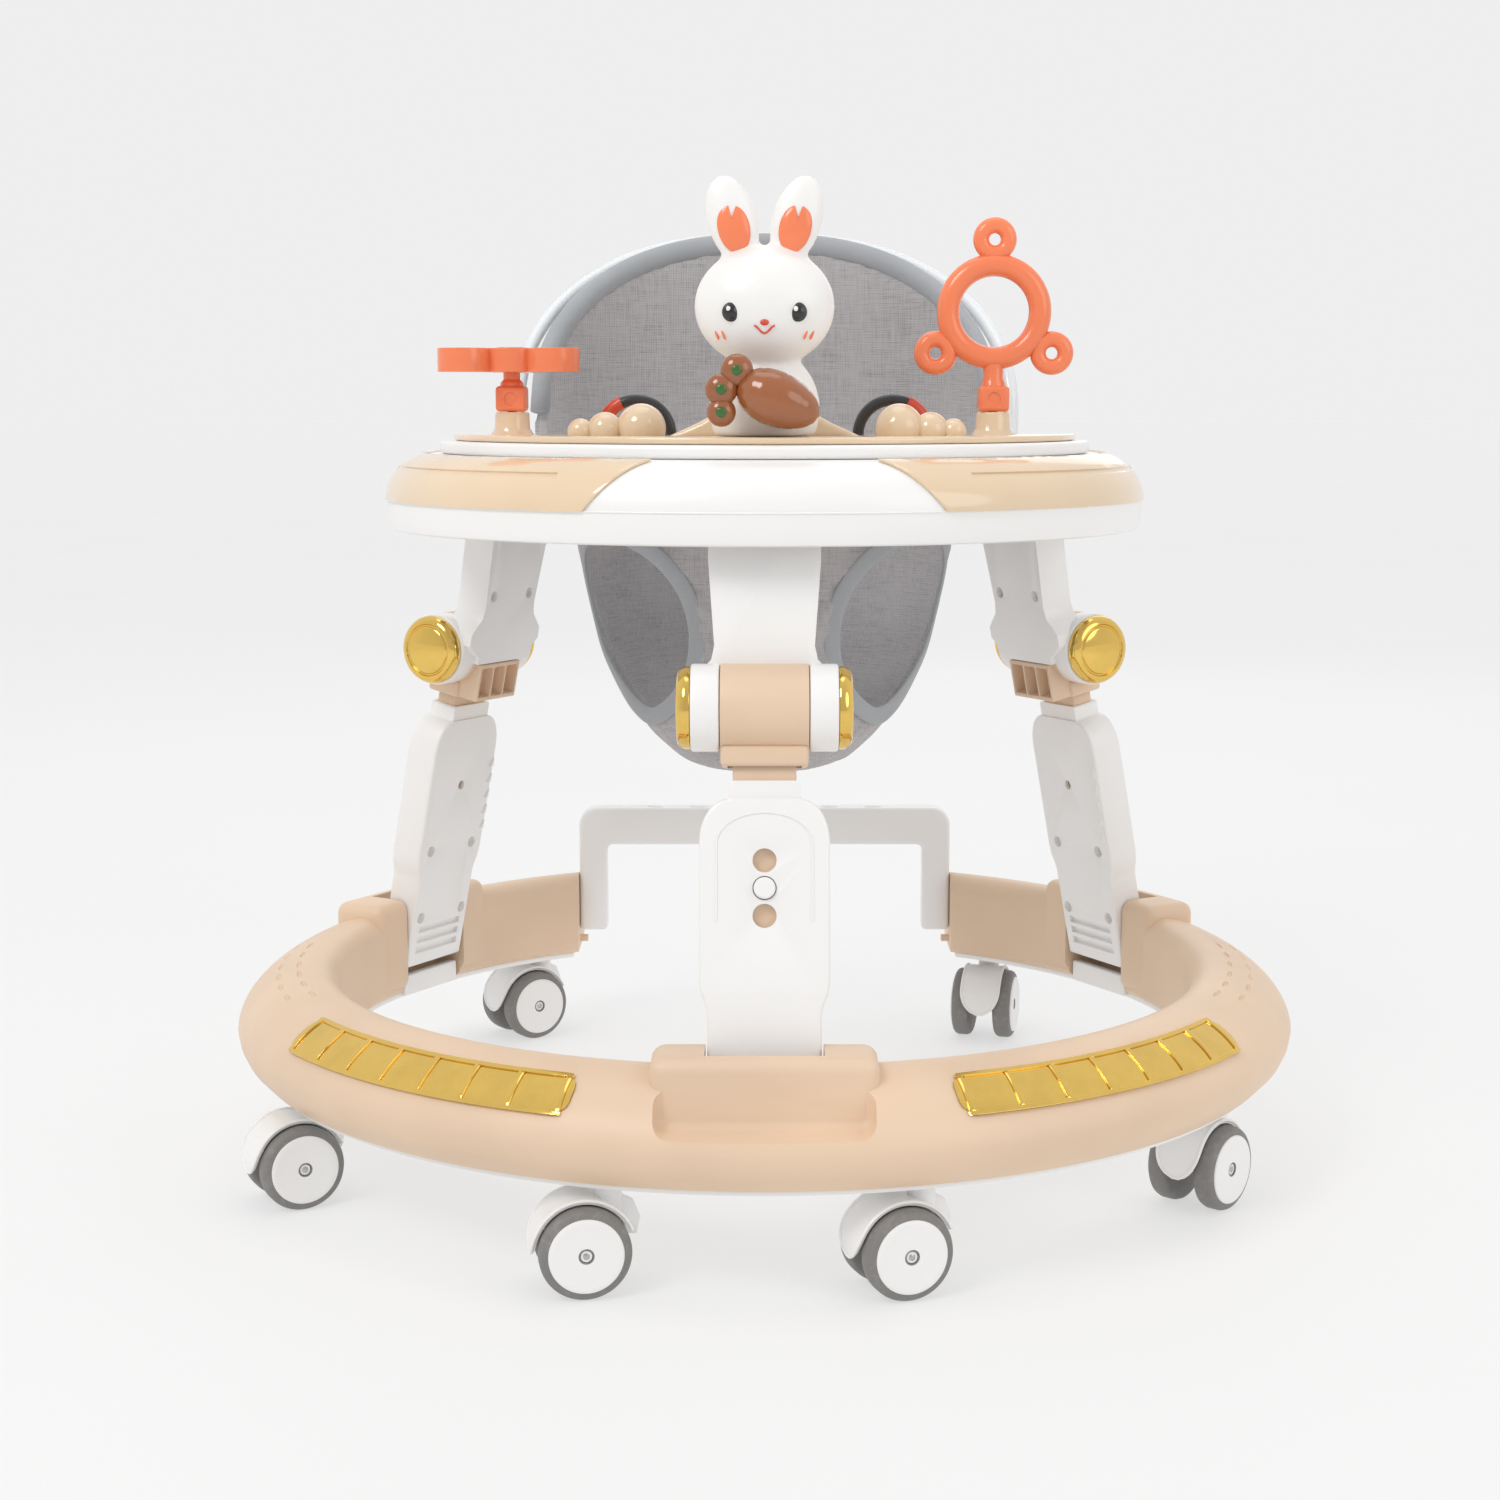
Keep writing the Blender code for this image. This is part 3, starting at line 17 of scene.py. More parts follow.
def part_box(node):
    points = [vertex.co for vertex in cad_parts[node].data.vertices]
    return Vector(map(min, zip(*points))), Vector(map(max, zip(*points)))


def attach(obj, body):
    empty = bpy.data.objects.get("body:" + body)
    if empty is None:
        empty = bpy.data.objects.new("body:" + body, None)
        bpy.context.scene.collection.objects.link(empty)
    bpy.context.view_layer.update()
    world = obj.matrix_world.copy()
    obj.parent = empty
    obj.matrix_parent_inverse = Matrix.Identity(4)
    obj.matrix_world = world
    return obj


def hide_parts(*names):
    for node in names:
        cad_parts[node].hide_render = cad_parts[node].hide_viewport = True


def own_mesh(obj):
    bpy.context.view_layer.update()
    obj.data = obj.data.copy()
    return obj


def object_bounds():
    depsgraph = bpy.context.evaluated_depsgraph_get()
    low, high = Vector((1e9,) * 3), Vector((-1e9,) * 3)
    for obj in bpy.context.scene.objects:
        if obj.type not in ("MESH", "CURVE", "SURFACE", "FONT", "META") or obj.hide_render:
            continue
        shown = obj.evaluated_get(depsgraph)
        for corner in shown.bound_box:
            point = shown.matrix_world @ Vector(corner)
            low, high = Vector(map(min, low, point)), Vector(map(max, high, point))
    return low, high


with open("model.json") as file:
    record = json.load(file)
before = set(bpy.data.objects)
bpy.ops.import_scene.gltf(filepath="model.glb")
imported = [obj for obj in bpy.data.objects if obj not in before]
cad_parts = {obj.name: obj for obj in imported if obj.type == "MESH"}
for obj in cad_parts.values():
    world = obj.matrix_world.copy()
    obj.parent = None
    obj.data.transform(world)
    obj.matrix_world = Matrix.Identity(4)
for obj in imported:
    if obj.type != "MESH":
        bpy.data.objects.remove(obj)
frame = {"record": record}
MM = 0.001
CAD_LOW, CAD_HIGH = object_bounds()
JOINTS = {joint["name"]: joint for joint in frame["record"]["behaviour"]["joints"]}

# %% [markdown]
# ## The walker's own centre
#
# The ring is open at the rear, so the middle of its box isn't its centre. The three foot hinges stand
# at equal turns round the centre, so their mean gives it.

# %% Centre and main sizes
feet = [Vector(JOINTS[f"foot_{leg}"]["pos_m"]) for leg in ("front", "right", "left")]
CENTRE = Vector((0, (feet[0].y + feet[1].y + feet[2].y) / 3, 0))
RING_R = CENTRE.y - CAD_LOW.y
TRAY_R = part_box("tray")[1].x
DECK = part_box("tray")[1].z
TRAY_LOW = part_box("tray")[0].z
AZIMUTH = {"front": 0, "right": 120, "left": -120}
print("centre y", round(CENTRE.y * 1000, 1), "ring", round(RING_R * 1000), "tray", round(TRAY_R * 1000))

# %% [markdown]
# ## Mesh tools
#
# Most pieces are one of four things: an outline pushed along an axis, a profile turned about an axis, a
# section carried round the centre, or a tube along a path. Each tool returns a plain mesh.


# %% Outline, lathe and sweep
def mesh_of(points, faces):
    mesh = bpy.data.meshes.new("shape")
    bm = bmesh.new()
    verts = [bm.verts.new(p) for p in points]
    for face in faces:
        bm.faces.new([verts[i] for i in face])
    bmesh.ops.recalc_face_normals(bm, faces=bm.faces)
    bm.to_mesh(mesh)
    bm.free()
    return mesh


def mm(*points):
    """Points written in millimetres, as metres."""
    return [tuple(value * MM for value in point) for point in points]


def prism(outline, low, high, axis="Y"):
    """An outline pushed along Y, from (x, z) points, or along Z, from (x, y) points."""
    n = len(outline)
    points = [(a, level, b) if axis == "Y" else (a, b, level) for level in (low, high) for a, b in outline]
    sides = [(i, (i + 1) % n, n + (i + 1) % n, n + i) for i in range(n)]
    return mesh_of(points, sides + [tuple(range(n)), tuple(range(n, 2 * n))])


def block(low, high):
    (x0, y0, z0), (x1, y1, z1) = low, high
    return prism([(x0, y0), (x1, y0), (x1, y1), (x0, y1)], z0, z1, "Z")


def swept(section, start, end, steps, closed=False):
    """A closed (radius, height) section carried round Z. Start and end may be one azimuth per point."""
    n = len(section)
    starts = start if isinstance(start, list) else [start] * n
    ends = end if isinstance(end, list) else [end] * n
    points, faces = [], []
    for i in range(steps if closed else steps + 1):
        for j, (radius, height) in enumerate(section):
            turn = math.radians(starts[j] + (ends[j] - starts[j]) * i / steps)
            points.append((radius * math.sin(turn), -radius * math.cos(turn), height))
    for i in range(steps):
        k = (i + 1) % steps if closed else i + 1
        faces += [(i * n + j, i * n + (j + 1) % n, k * n + (j + 1) % n, k * n + j) for j in range(n)]
    if not closed:
        faces += [tuple(range(n)), tuple(range(steps * n, (steps + 1) * n))]
    return mesh_of(points, faces)


def lathe(profile, steps=64, axis="Z"):
    """A (radius, height) profile that starts and ends on the axis, turned about it."""
    low, high, rim = profile[0], profile[-1], profile[1:-1]
    n = len(rim)
    points = [(0, 0, low[1]), (0, 0, high[1])]
    for i in range(steps):
        turn = 2 * math.pi * i / steps
        points += [(r * math.cos(turn), r * math.sin(turn), z) for r, z in rim]
    faces = []
    for i in range(steps):
        a, b = 2 + i * n, 2 + ((i + 1) % steps) * n
        faces += [(a + j, b + j, b + j + 1, a + j + 1) for j in range(n - 1)]
        faces += [(0, b, a), (1, a + n - 1, b + n - 1)]
    return pointed(mesh_of(points, faces), axis)


def pointed(mesh, axis):
    """Turn a mesh made along Z so that it lies along another axis."""
    turns = {"Z": Matrix.Identity(4), "X": Matrix.Rotation(math.pi / 2, 4, "Y"),
             "Y": Matrix.Rotation(-math.pi / 2, 4, "X")}
    mesh.transform(turns[axis])
    return mesh


def rod(axis, radius, low, high, steps=48, centre=(0, 0, 0), round_off=0.0):
    """A cylinder, with its two edges rounded off."""
    profile = [(0, low)]
    for i in range(4):
        turn = math.pi / 2 * i / 3
        profile.append((radius - round_off * (1 - math.sin(turn)), low + round_off * (1 - math.cos(turn))))
    for i in range(4):
        turn = math.pi / 2 * (3 - i) / 3
        profile.append((radius - round_off * (1 - math.sin(turn)), high - round_off * (1 - math.cos(turn))))
    profile.append((0, high))
    if not round_off:
        profile = [(0, low), (radius, low), (radius, high), (0, high)]
    return moved(lathe(profile, steps, axis), centre)


def moved(mesh, offset):
    mesh.transform(Matrix.Translation(offset))
    return mesh


def ball(half, centre=(0, 0, 0), tilt=0.0, steps=40):
    bm = bmesh.new()
    bmesh.ops.create_uvsphere(bm, u_segments=steps, v_segments=steps // 2, radius=1)
    mesh = bpy.data.meshes.new("ball")
    bm.to_mesh(mesh)
    bm.free()
    turn = Matrix.Rotation(math.radians(tilt), 4, "Y")
    mesh.transform(Matrix.Translation(centre) @ turn @ Matrix.Diagonal((*half, 1)))
    return mesh


def ring(axis, radius, tube, centre=(0, 0, 0), start=0, end=360, steps=48):
    turns = [math.pi * j / 8 for j in range(16)]
    section = [(radius + tube * math.cos(t), tube * math.sin(t)) for t in turns]
    mesh = swept(section, start, end, steps, closed=end - start >= 360)
    return moved(pointed(mesh, axis), centre)


def tube(path, width, thick=None, closed=False, sides=10):
    """A tube along a path; with a thickness it is a flat tape, wide across the path and thin outwards."""
    path = [Vector(p) for p in path]
    n = len(path)
    points, faces = [], []
    for i, p in enumerate(path):
        before = path[(i - 1) % n] if closed or i else path[0]
        later = path[(i + 1) % n] if closed or i < n - 1 else path[-1]
        along = (later - before).normalized()
        out = Vector((p.x - CENTRE.x, p.y - CENTRE.y - 50 * MM, 0)).normalized()
        out = (out - along * out.dot(along)).normalized()
        across = along.cross(out)
        for j in range(sides):
            turn = 2 * math.pi * j / sides
            points.append(p + across * width * math.cos(turn) + out * (thick or width) * math.sin(turn))
    for i in range(n if closed else n - 1):
        k = (i + 1) % n
        faces += [(i * sides + j, i * sides + (j + 1) % sides, k * sides + (j + 1) % sides, k * sides + j)
                  for j in range(sides)]
    if not closed:
        faces += [tuple(range(sides)), tuple(range((n - 1) * sides, n * sides))]
    return mesh_of(points, faces)


# %% [markdown]
# ## Joining, cutting and rounding
#
# Moulded plastic has no sharp edge anywhere, so nearly every piece ends with a bevel. Holes and recesses
# are cut with an exact Boolean before it.


# %% Modifiers as functions
def after(mesh, kind, **settings):
    holder = bpy.data.objects.new("holder", mesh)
    bpy.context.scene.collection.objects.link(holder)
    modifier = holder.modifiers.new(kind, kind)
    for key, value in settings.items():
        setattr(modifier, key, value)
    graph = bpy.context.evaluated_depsgraph_get()
    made = bpy.data.meshes.new_from_object(holder.evaluated_get(graph))
    bpy.data.objects.remove(holder)
    return made


def boolean(body, tools, operation):
    for tool in tools:
        other = bpy.data.objects.new("tool", tool)
        bpy.context.scene.collection.objects.link(other)
        body = after(body, "BOOLEAN", object=other, operation=operation, solver="EXACT")
        bpy.data.objects.remove(other)
    return body


def joined(body, *tools):
    return boolean(body, tools, "UNION")


def cut(body, *tools):
    return boolean(body, tools, "DIFFERENCE")


def rounded(mesh, width, segments=3, angle=35):
    return after(mesh, "BEVEL", width=width, segments=segments, limit_method="ANGLE",
                 angle_limit=math.radians(angle), use_clamp_overlap=True, harden_normals=False)


def together(*meshes):
    """Several shells in one mesh, without a Boolean."""
    bm = bmesh.new()
    for mesh in meshes:
        bm.from_mesh(mesh)
    made = bpy.data.meshes.new("together")
    bm.to_mesh(made)
    bm.free()
    return made


def mirrored(mesh, axis=(1, 0, 0)):
    copy = mesh.copy()
    copy.transform(Matrix.Scale(-1, 4, axis))
    copy.flip_normals()
    return copy


# %% [markdown]
# ## Putting a piece in place
#
# A piece is placed with one matrix, gets its material, rides on a CAD body, and stands for the CAD nodes
# it covers.


# %% Add a piece
def add(name, mesh, material, body, stands_for=(), place=None, sharp=32):
    mesh = mesh.copy()
    if place is not None:
        mesh.transform(place)
    mesh.name = name
    mesh.materials.clear()
    mesh.materials.append(material)
    mesh.shade_smooth()
    mesh.set_sharp_from_angle(angle=math.radians(sharp))
    piece = bpy.data.objects.new(name, mesh)
    bpy.context.scene.collection.objects.link(piece)
    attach(piece, body)
    if stands_for:
        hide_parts(*([stands_for] if isinstance(stands_for, str) else stands_for))
    return piece


AT_CENTRE = Matrix.Translation(CENTRE)


def leg_place(leg, at_knee=False):
    """Local frame of a leg: +X along the knee axis, +Z up the leg, +Y towards the walker's centre."""
    foot, knee = Vector(JOINTS[f"foot_{leg}"]["pos_m"]), Vector(JOINTS[f"knee_{leg}"]["pos_m"])
    x = Vector(JOINTS[f"knee_{leg}"]["axis"]).normalized()
    z = (knee - foot).normalized()
    y = z.cross(x)
    turn = Matrix((x, y, z)).transposed().to_4x4()
    return Matrix.Translation(knee if at_knee else foot) @ turn


LEG = (Vector(JOINTS["knee_front"]["pos_m"]) - Vector(JOINTS["foot_front"]["pos_m"])).length
print("lower leg", round(LEG * 1000, 1), "mm from foot hinge to knee")


# %% [markdown]
# ## Shader maths as expressions
#
# A socket wrapped in `Value` can be added, multiplied and compared like a number, and each operation
# makes one Math node. `Shader.node` makes any other node from its type, its settings and its inputs.


# %% Value and Shader
class Value:
    def __init__(self, shader, socket):
        self.shader, self.socket = shader, socket

    def _math(self, kind, *others, flipped=False):
        terms = [self, *others]
        if flipped:
            terms.reverse()
        return self.shader.node("Math", {"operation": kind}, dict(enumerate(terms)))

    def __add__(self, other):
        return self._math("ADD", other)

    def __mul__(self, other):
        return self._math("MULTIPLY", other)

    def __sub__(self, other):
        return self._math("SUBTRACT", other)

    def __rsub__(self, other):
        return self._math("SUBTRACT", other, flipped=True)

    __radd__, __rmul__ = __add__, __mul__

    def between(self, low, high):
        """0 below low, 1 above high, smooth between."""
        return self.shader.node("MapRange", {"interpolation_type": "SMOOTHSTEP"},
                                {"Value": self, "From Min": low, "From Max": high})


class Shader:
    def __init__(self, name):
        self.material = bpy.data.materials.new(name)
        self.material.use_nodes = True
        self.tree = self.material.node_tree
        self.surface = self.tree.nodes["Principled BSDF"]

    def node(self, kind, settings=None, inputs=None, output=0):
        made = self.tree.nodes.new("ShaderNode" + kind)
        for key, value in (settings or {}).items():
            setattr(made, key, value)
        for key, value in (inputs or {}).items():
            self.feed(made.inputs[key], value)
        return Value(self, made.outputs[output])

    def feed(self, socket, value):
        if isinstance(value, Value):
            self.tree.links.new(value.socket, socket)
        elif hasattr(value, "__len__") and len(value) == 3 and socket.type == "RGBA":
            socket.default_value = (*value, 1)
        else:
            socket.default_value = value

    def where(self):
        return self.node("TexCoord", output=3)

    def noise(self, scale, detail=3.0, rough=0.5, vector=None):
        return self.node("TexNoise", inputs={"Vector": vector or self.where(), "Scale": scale,
                                             "Detail": detail, "Roughness": rough})

    def mix(self, factor, a, b):
        made = self.tree.nodes.new("ShaderNodeMix")
        made.data_type = "RGBA"
        for socket, value in ((made.inputs[0], factor), (made.inputs[6], a), (made.inputs[7], b)):
            self.feed(socket, value)
        return Value(self, made.outputs[2])

    def bump(self, height, strength, distance):
        return self.node("Bump", inputs={"Height": height, "Strength": strength, "Distance": distance})

    def set(self, **inputs):
        for key, value in inputs.items():
            self.feed(self.surface.inputs[key.replace("_", " ")], value)
        return self.material


def linear(red, green, blue):
    return tuple(((c + 0.055) / 1.055) ** 2.4 if c > 0.04045 else c / 12.92 for c in (red, green, blue))


# %% [markdown]
# ## Plastics
#
# Moulded plastic is nearly even, but never quite: the colour drifts a little over a hand's width, the
# gloss changes where it has been touched, and the mould leaves a fine grain.


# %% Plastic
def plastic(name, colour, gloss, drift=0.03, grain=0.12, grain_scale=900.0, coat=0.0, through=0.0):
    shader = Shader(name)
    base = linear(*colour)
    dark = tuple(c * (1 - 2 * drift) for c in base)
    light = tuple(min(1.0, c * (1 + drift)) for c in base)
    cloud = shader.noise(9.0, 2.0)
    touched = shader.noise(38.0, 4.0, 0.6).between(0.35, 0.75)
    fine = shader.noise(grain_scale, 2.0)
    rough = gloss + touched * (0.15 * gloss) + fine * 0.03
    return shader.set(Base_Color=shader.mix(cloud.between(0.3, 0.7), dark, light), Roughness=rough,
                      Coat_Weight=coat, Coat_Roughness=0.08, Subsurface_Weight=through,
                      Subsurface_Radius=(0.004, 0.003, 0.002), Subsurface_Scale=0.5,
                      Normal=shader.bump(fine, grain, 0.0002))


PEACH = plastic("peach_satin", (0.895, 0.785, 0.675), 0.40, grain=0.25)
GLOSS_PEACH = plastic("peach_gloss", (0.91, 0.81, 0.68), 0.12, coat=0.6, grain=0.04)
WHITE = plastic("white_moulded", (0.95, 0.945, 0.94), 0.3, drift=0.006, coat=0.1, grain=0.02)
SOFT_WHITE = plastic("white_soft", (0.95, 0.945, 0.935), 0.3, drift=0.01, through=0.15)
ORANGE = plastic("orange_gloss", (0.97, 0.52, 0.34), 0.2, drift=0.04, coat=0.3)
RED_ORANGE = plastic("red_orange", (0.85, 0.31, 0.19), 0.28, drift=0.05, coat=0.2)
DARK = plastic("dark_grey_gloss", (0.2, 0.2, 0.21), 0.25, coat=0.2)
BLACK = plastic("black_eye", (0.07, 0.05, 0.05), 0.1, coat=0.6)
BROWN = plastic("brown_gloss", (0.60, 0.35, 0.19), 0.14, drift=0.1, coat=0.6)
HOOP = plastic("pale_clear", (0.90, 0.915, 0.925), 0.16, drift=0.02, coat=0.3, through=0.3)
print("plastics made")


# %% [markdown]
# ## Rubber, gold and steel
#
# The tyres are a dull grey with fine dust. Gold plating keeps an even colour, so only its gloss changes.


# %% Other hard materials
def rubber():
    shader = Shader("tyre_rubber")
    dust = shader.noise(160.0, 5.0, 0.7).between(0.45, 0.8)
    fine = shader.noise(1400.0, 2.0)
    colour = shader.mix(dust, linear(0.50, 0.49, 0.48), linear(0.58, 0.57, 0.56))
    return shader.set(Base_Color=colour, Roughness=0.55 + dust * 0.2, Normal=shader.bump(fine, 0.3, 0.0002))


def metal(name, colour, gloss, scratch):
    shader = Shader(name)
    smear = shader.noise(55.0, 4.0, 0.65)
    fine = shader.noise(700.0, 2.0)
    base = linear(*colour)
    shade = shader.mix(smear.between(0.3, 0.8), base, tuple(c * 0.9 for c in base))
    return shader.set(Base_Color=shade, Metallic=1.0, Roughness=gloss + smear * scratch,
                      Normal=shader.bump(fine, 0.05, 0.0001))




TYRE = rubber()
GOLD = metal("gold_plating", (0.93, 0.78, 0.42), 0.06, 0.05)
STEEL = metal("steel", (0.75, 0.75, 0.76), 0.22, 0.15)
LEAF = plastic("green_spot", (0.20, 0.40, 0.14), 0.2, drift=0.06, coat=0.4)


# %% [markdown]
# ## Cloth
#
# The seat is a mottled linen: light and dark threads cross, some threads are thicker than others, and
# the dye takes unevenly. The binding tape is the same grey, smoother and closer woven.


# %% Linen and tape
def weave(name, dark, light, thread, mottle, depth):
    shader = Shader(name)
    where = shader.where()
    wobble = shader.noise(26.0, 2.0, vector=where)
    warp = shader.node("TexWave", {"wave_type": "BANDS", "bands_direction": "X"},
                       {"Vector": where, "Scale": thread, "Distortion": 1.2, "Detail": 1.0}, output=1)
    weft = shader.node("TexWave", {"wave_type": "BANDS", "bands_direction": "Z"},
                       {"Vector": where, "Scale": thread, "Distortion": 1.2, "Detail": 1.0}, output=1)
    slub = shader.node("Mapping", inputs={"Vector": where, "Scale": (60.0, 60.0, 900.0)})
    streaks = shader.noise(1.0, 3.0, vector=slub)
    slub_up = shader.node("Mapping", inputs={"Vector": where, "Scale": (900.0, 900.0, 60.0)})
    streaks_up = shader.noise(1.0, 3.0, vector=slub_up)
    threads = warp * 0.5 + weft * 0.5
    shade = (streaks + streaks_up) * 0.5 * mottle + threads * (0.55 - 0.3 * mottle) + wobble * 0.2
    colour = shader.mix(shade.between(0.3, 0.85), linear(*dark), linear(*light))
    return shader.set(Base_Color=colour, Roughness=0.86 + wobble * 0.1, Sheen_Weight=0.25,
                      Normal=shader.bump(threads + streaks * 0.4, depth, 0.0006))


LINEN = weave("grey_linen", (0.50, 0.49, 0.50), (0.73, 0.72, 0.725), 260.0, 1.0, 0.45)
TAPE = weave("grey_tape", (0.62, 0.635, 0.65), (0.71, 0.72, 0.735), 420.0, 0.35, 0.25)
print(len(bpy.data.materials), "materials")


# %% [markdown]
# ## Base ring
#
# The ring is blow-moulded: a full crown, its widest line low down, and a skirt that tucks in under it.
# Three raised collars hold the legs. The crown has short moulded dashes on both front shoulders.

# %% Ring section
RING_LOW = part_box("base_shell")[0].z
COLLAR_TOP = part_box("base_shell")[1].z
RING_W, CROWN, WIDEST = 65 * MM, RING_LOW + 60 * MM, RING_LOW + 22 * MM
INNER = RING_R - RING_W
ARM_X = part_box("rear_bar")[1].x - 7.7 * MM


def crown_point(share, out=0.0):
    """A point on the crown, from its top (0) to its widest line (1)."""
    turn = math.pi / 2 * (1 - share)
    power = 2 / 1.75
    return (INNER + 15 * MM + (RING_W - 15 * MM + out) * math.cos(turn) ** power,
            WIDEST + (CROWN - WIDEST + out) * math.sin(turn) ** power)


def on_ring(azimuth, share, out=0.0):
    radius, height = crown_point(share, out)
    turn = math.radians(azimuth)
    return Vector((radius * math.sin(turn), -radius * math.cos(turn), height))


section = [(INNER + 3 * MM, RING_LOW), (INNER, RING_LOW + 3 * MM)]
for i in range(9):
    turn = math.pi / 2 * i / 8
    section.append((INNER + 15 * MM * (1 - math.cos(turn)), CROWN - 15 * MM * (1 - math.sin(turn))))
section += [crown_point(i / 16) for i in range(1, 17)]
section += [(RING_R - 1.2 * MM, WIDEST - 7 * MM), (RING_R - 4.5 * MM, WIDEST - 14 * MM),
            (RING_R - 12 * MM, RING_LOW)]
whole = swept(section, -160, 160, 160)
shell = cut(whole, block((-ARM_X, 0.1, -1), (ARM_X, 1, 1)))
shell = rounded(shell, 5 * MM, 3, 50)
print("ring", len(shell.polygons), "faces")

# %% [markdown]
# The collars are soft-edged blocks set across the ring. Each has a pocket, open towards the centre, that
# the leg stands in. In front of the front collar the crown is scooped down to a ledge.

# %% Collars, pockets and dashes
collar = rounded(block((-63.5 * MM, 28 * MM - RING_R, RING_LOW + 4 * MM),
                       (63.5 * MM, 71 * MM - RING_R, COLLAR_TOP)), 8 * MM, 4)
scoop = rounded(block((-61 * MM, -30 * MM - RING_R, RING_LOW + 30 * MM),
                      (61 * MM, 29 * MM - RING_R, CROWN + 60 * MM)), 9 * MM, 5)
shell = cut(shell, scoop)
pocket = block((-33.3 * MM, 39 * MM - RING_R, 0), (33.3 * MM, 160 * MM - RING_R, 0.3))
for azimuth in AZIMUTH.values():
    turn = Matrix.Rotation(math.radians(azimuth), 4, "Z")
    for tool, kind in ((collar, "UNION"), (pocket, "DIFFERENCE")):
        turned = tool.copy()
        turned.transform(turn)
        shell = boolean(shell, [turned], kind)
dashes = []
for side in (-1, 1):
    for row, share in enumerate((0.16, 0.34)):
        for i in range(6):
            azimuth = side * (66 + 5.2 * i + 2.6 * row)
            spot = on_ring(azimuth, share, 0.6 * MM)
            dash = ball((9 * MM, 1.8 * MM, 2.2 * MM), steps=12)
            dash.transform(Matrix.Translation(spot) @ Matrix.Rotation(math.radians(azimuth), 4, "Z"))
            dashes.append(dash)
shell = cut(shell, together(*dashes))
add("ring_shell", shell, PEACH, "base", "base_shell", AT_CENTRE)
plate_low, plate_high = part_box("base_under_plate")[0].z, RING_LOW - 0.2 * MM
plate = cut(swept([(INNER + 4 * MM, plate_low), (INNER + 4 * MM, plate_high), (RING_R - 16 * MM, plate_high),
                   (RING_R - 16 * MM, plate_low)], -160, 160, 120),
            block((-ARM_X - 4 * MM, 0.1, -1), (ARM_X + 4 * MM, 1, 1)))
lips = []
for azimuth in AZIMUTH.values():
    lip = rounded(block((-31 * MM, -INNER - 6 * MM, plate_low + 1 * MM), (31 * MM, 1 * MM - INNER,
                                                                        RING_LOW + 12 * MM)), 1.5 * MM)
    lip.transform(Matrix.Rotation(math.radians(azimuth), 4, "Z"))
    lips.append(lip)
plate = together(rounded(plate, 1 * MM, 2), *lips)
add("ring_under_plate", plate, WHITE, "base", "base_under_plate", AT_CENTRE)
print("base done")

# %% [markdown]
# ## Gold strips
#
# A plated strip follows the crown on each front shoulder. It has rounded ends, a raised rim, and ridges
# that part it into seven cells.


# %% Strips
def strip_patch(start, end, span, low, high, bow=0.0, steps=40):
    """A thin patch on the crown, whose ends may bow out in the middle of the span."""
    shares = [span[0] + (span[1] - span[0]) * i / 10 for i in range(11)]
    both = shares + shares[::-1]
    points = [crown_point(s, low) for s in shares] + [crown_point(s, high) for s in shares[::-1]]
    middle, half = (span[0] + span[1]) / 2, (span[1] - span[0]) / 2
    inset = [bow * (1 - math.sqrt(max(0.0, 1 - ((s - middle) / half) ** 4))) for s in both]
    return swept(points, [start + i for i in inset], [end - i for i in inset], steps)


FROM, TO, SPAN = 18.5, 57, (0.30, 0.68)
CELL = (TO - FROM - 2) / 7
bed = strip_patch(FROM, TO, SPAN, 0.2 * MM, 1.2 * MM, 3.0)
rims = [strip_patch(FROM + 0.6, TO - 0.6, (SPAN[0], SPAN[0] + 0.04), 1.0 * MM, 2.2 * MM, 1.0),
        strip_patch(FROM + 0.6, TO - 0.6, (SPAN[1] - 0.04, SPAN[1]), 1.0 * MM, 2.2 * MM, 1.0)]
lines = [FROM + 1 + CELL * i for i in range(8)]
ridges = [strip_patch(line - 0.35, line + 0.35, (SPAN[0] + 0.03, SPAN[1] - 0.03), 1.0 * MM, 2.2 * MM, steps=2)
          for line in lines]
strip = together(bed, *[rounded(part, 0.3 * MM, 2) for part in rims + ridges])
for side, mesh in (("right", strip), ("left", mirrored(strip))):
    add(f"strip_{side}", mesh, GOLD, "base", f"gold_strip_{side}", AT_CENTRE, sharp=60)

# %% [markdown]
# ## Rear bar
#
# An upside-down U with soft edges closes the opening. It turns on short pins in the two arms. Small tabs
# beside its feet lock it.

# %% Bar, tabs and arm pads
bar_low, bar_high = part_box("rear_bar")
pivot = Vector(JOINTS["rear_bar_fold"]["pos_m"])
wide, high = ARM_X - 0.3 * MM, bar_high.z - pivot.z
foot, narrow, under = bar_low.z - pivot.z, wide - 21.5 * MM, high - 29 * MM
outline = [(-wide, foot)]
for sign, start in ((-1, 180), (1, 90)):
    for i in range(9):
        turn = math.radians(start - 90 * i / 8)
        outline.append((sign * (wide - 14 * MM) + 14 * MM * math.cos(turn),
                        high - 14 * MM + 14 * MM * math.sin(turn)))
outline += [(wide, foot), (narrow, foot)]
for sign in (1, -1):
    for i in range(5):
        turn = math.radians(90 * (i if sign > 0 else 4 - i) / 4)
        outline.append((sign * (narrow - 5 * MM + 5 * MM * math.cos(turn)),
                        under - 5 * MM + 5 * MM * math.sin(turn)))
outline.append((-narrow, foot))
bar = rounded(prism(outline, -10 * MM, 10 * MM), 3.5 * MM, 4)
bumps = [ball((7 * MM, 5 * MM, 1.2 * MM), ((i - 2.5) * 34 * MM, 0, high)) for i in range(6)]
pins = [rod("X", 5 * MM, *sorted((sign * (wide - 2 * MM), sign * (wide + 7 * MM)))) for sign in (-1, 1)]
add("bar", together(bar, *pins, *bumps), WHITE, "rear_bar", "rear_bar", Matrix.Translation(pivot))
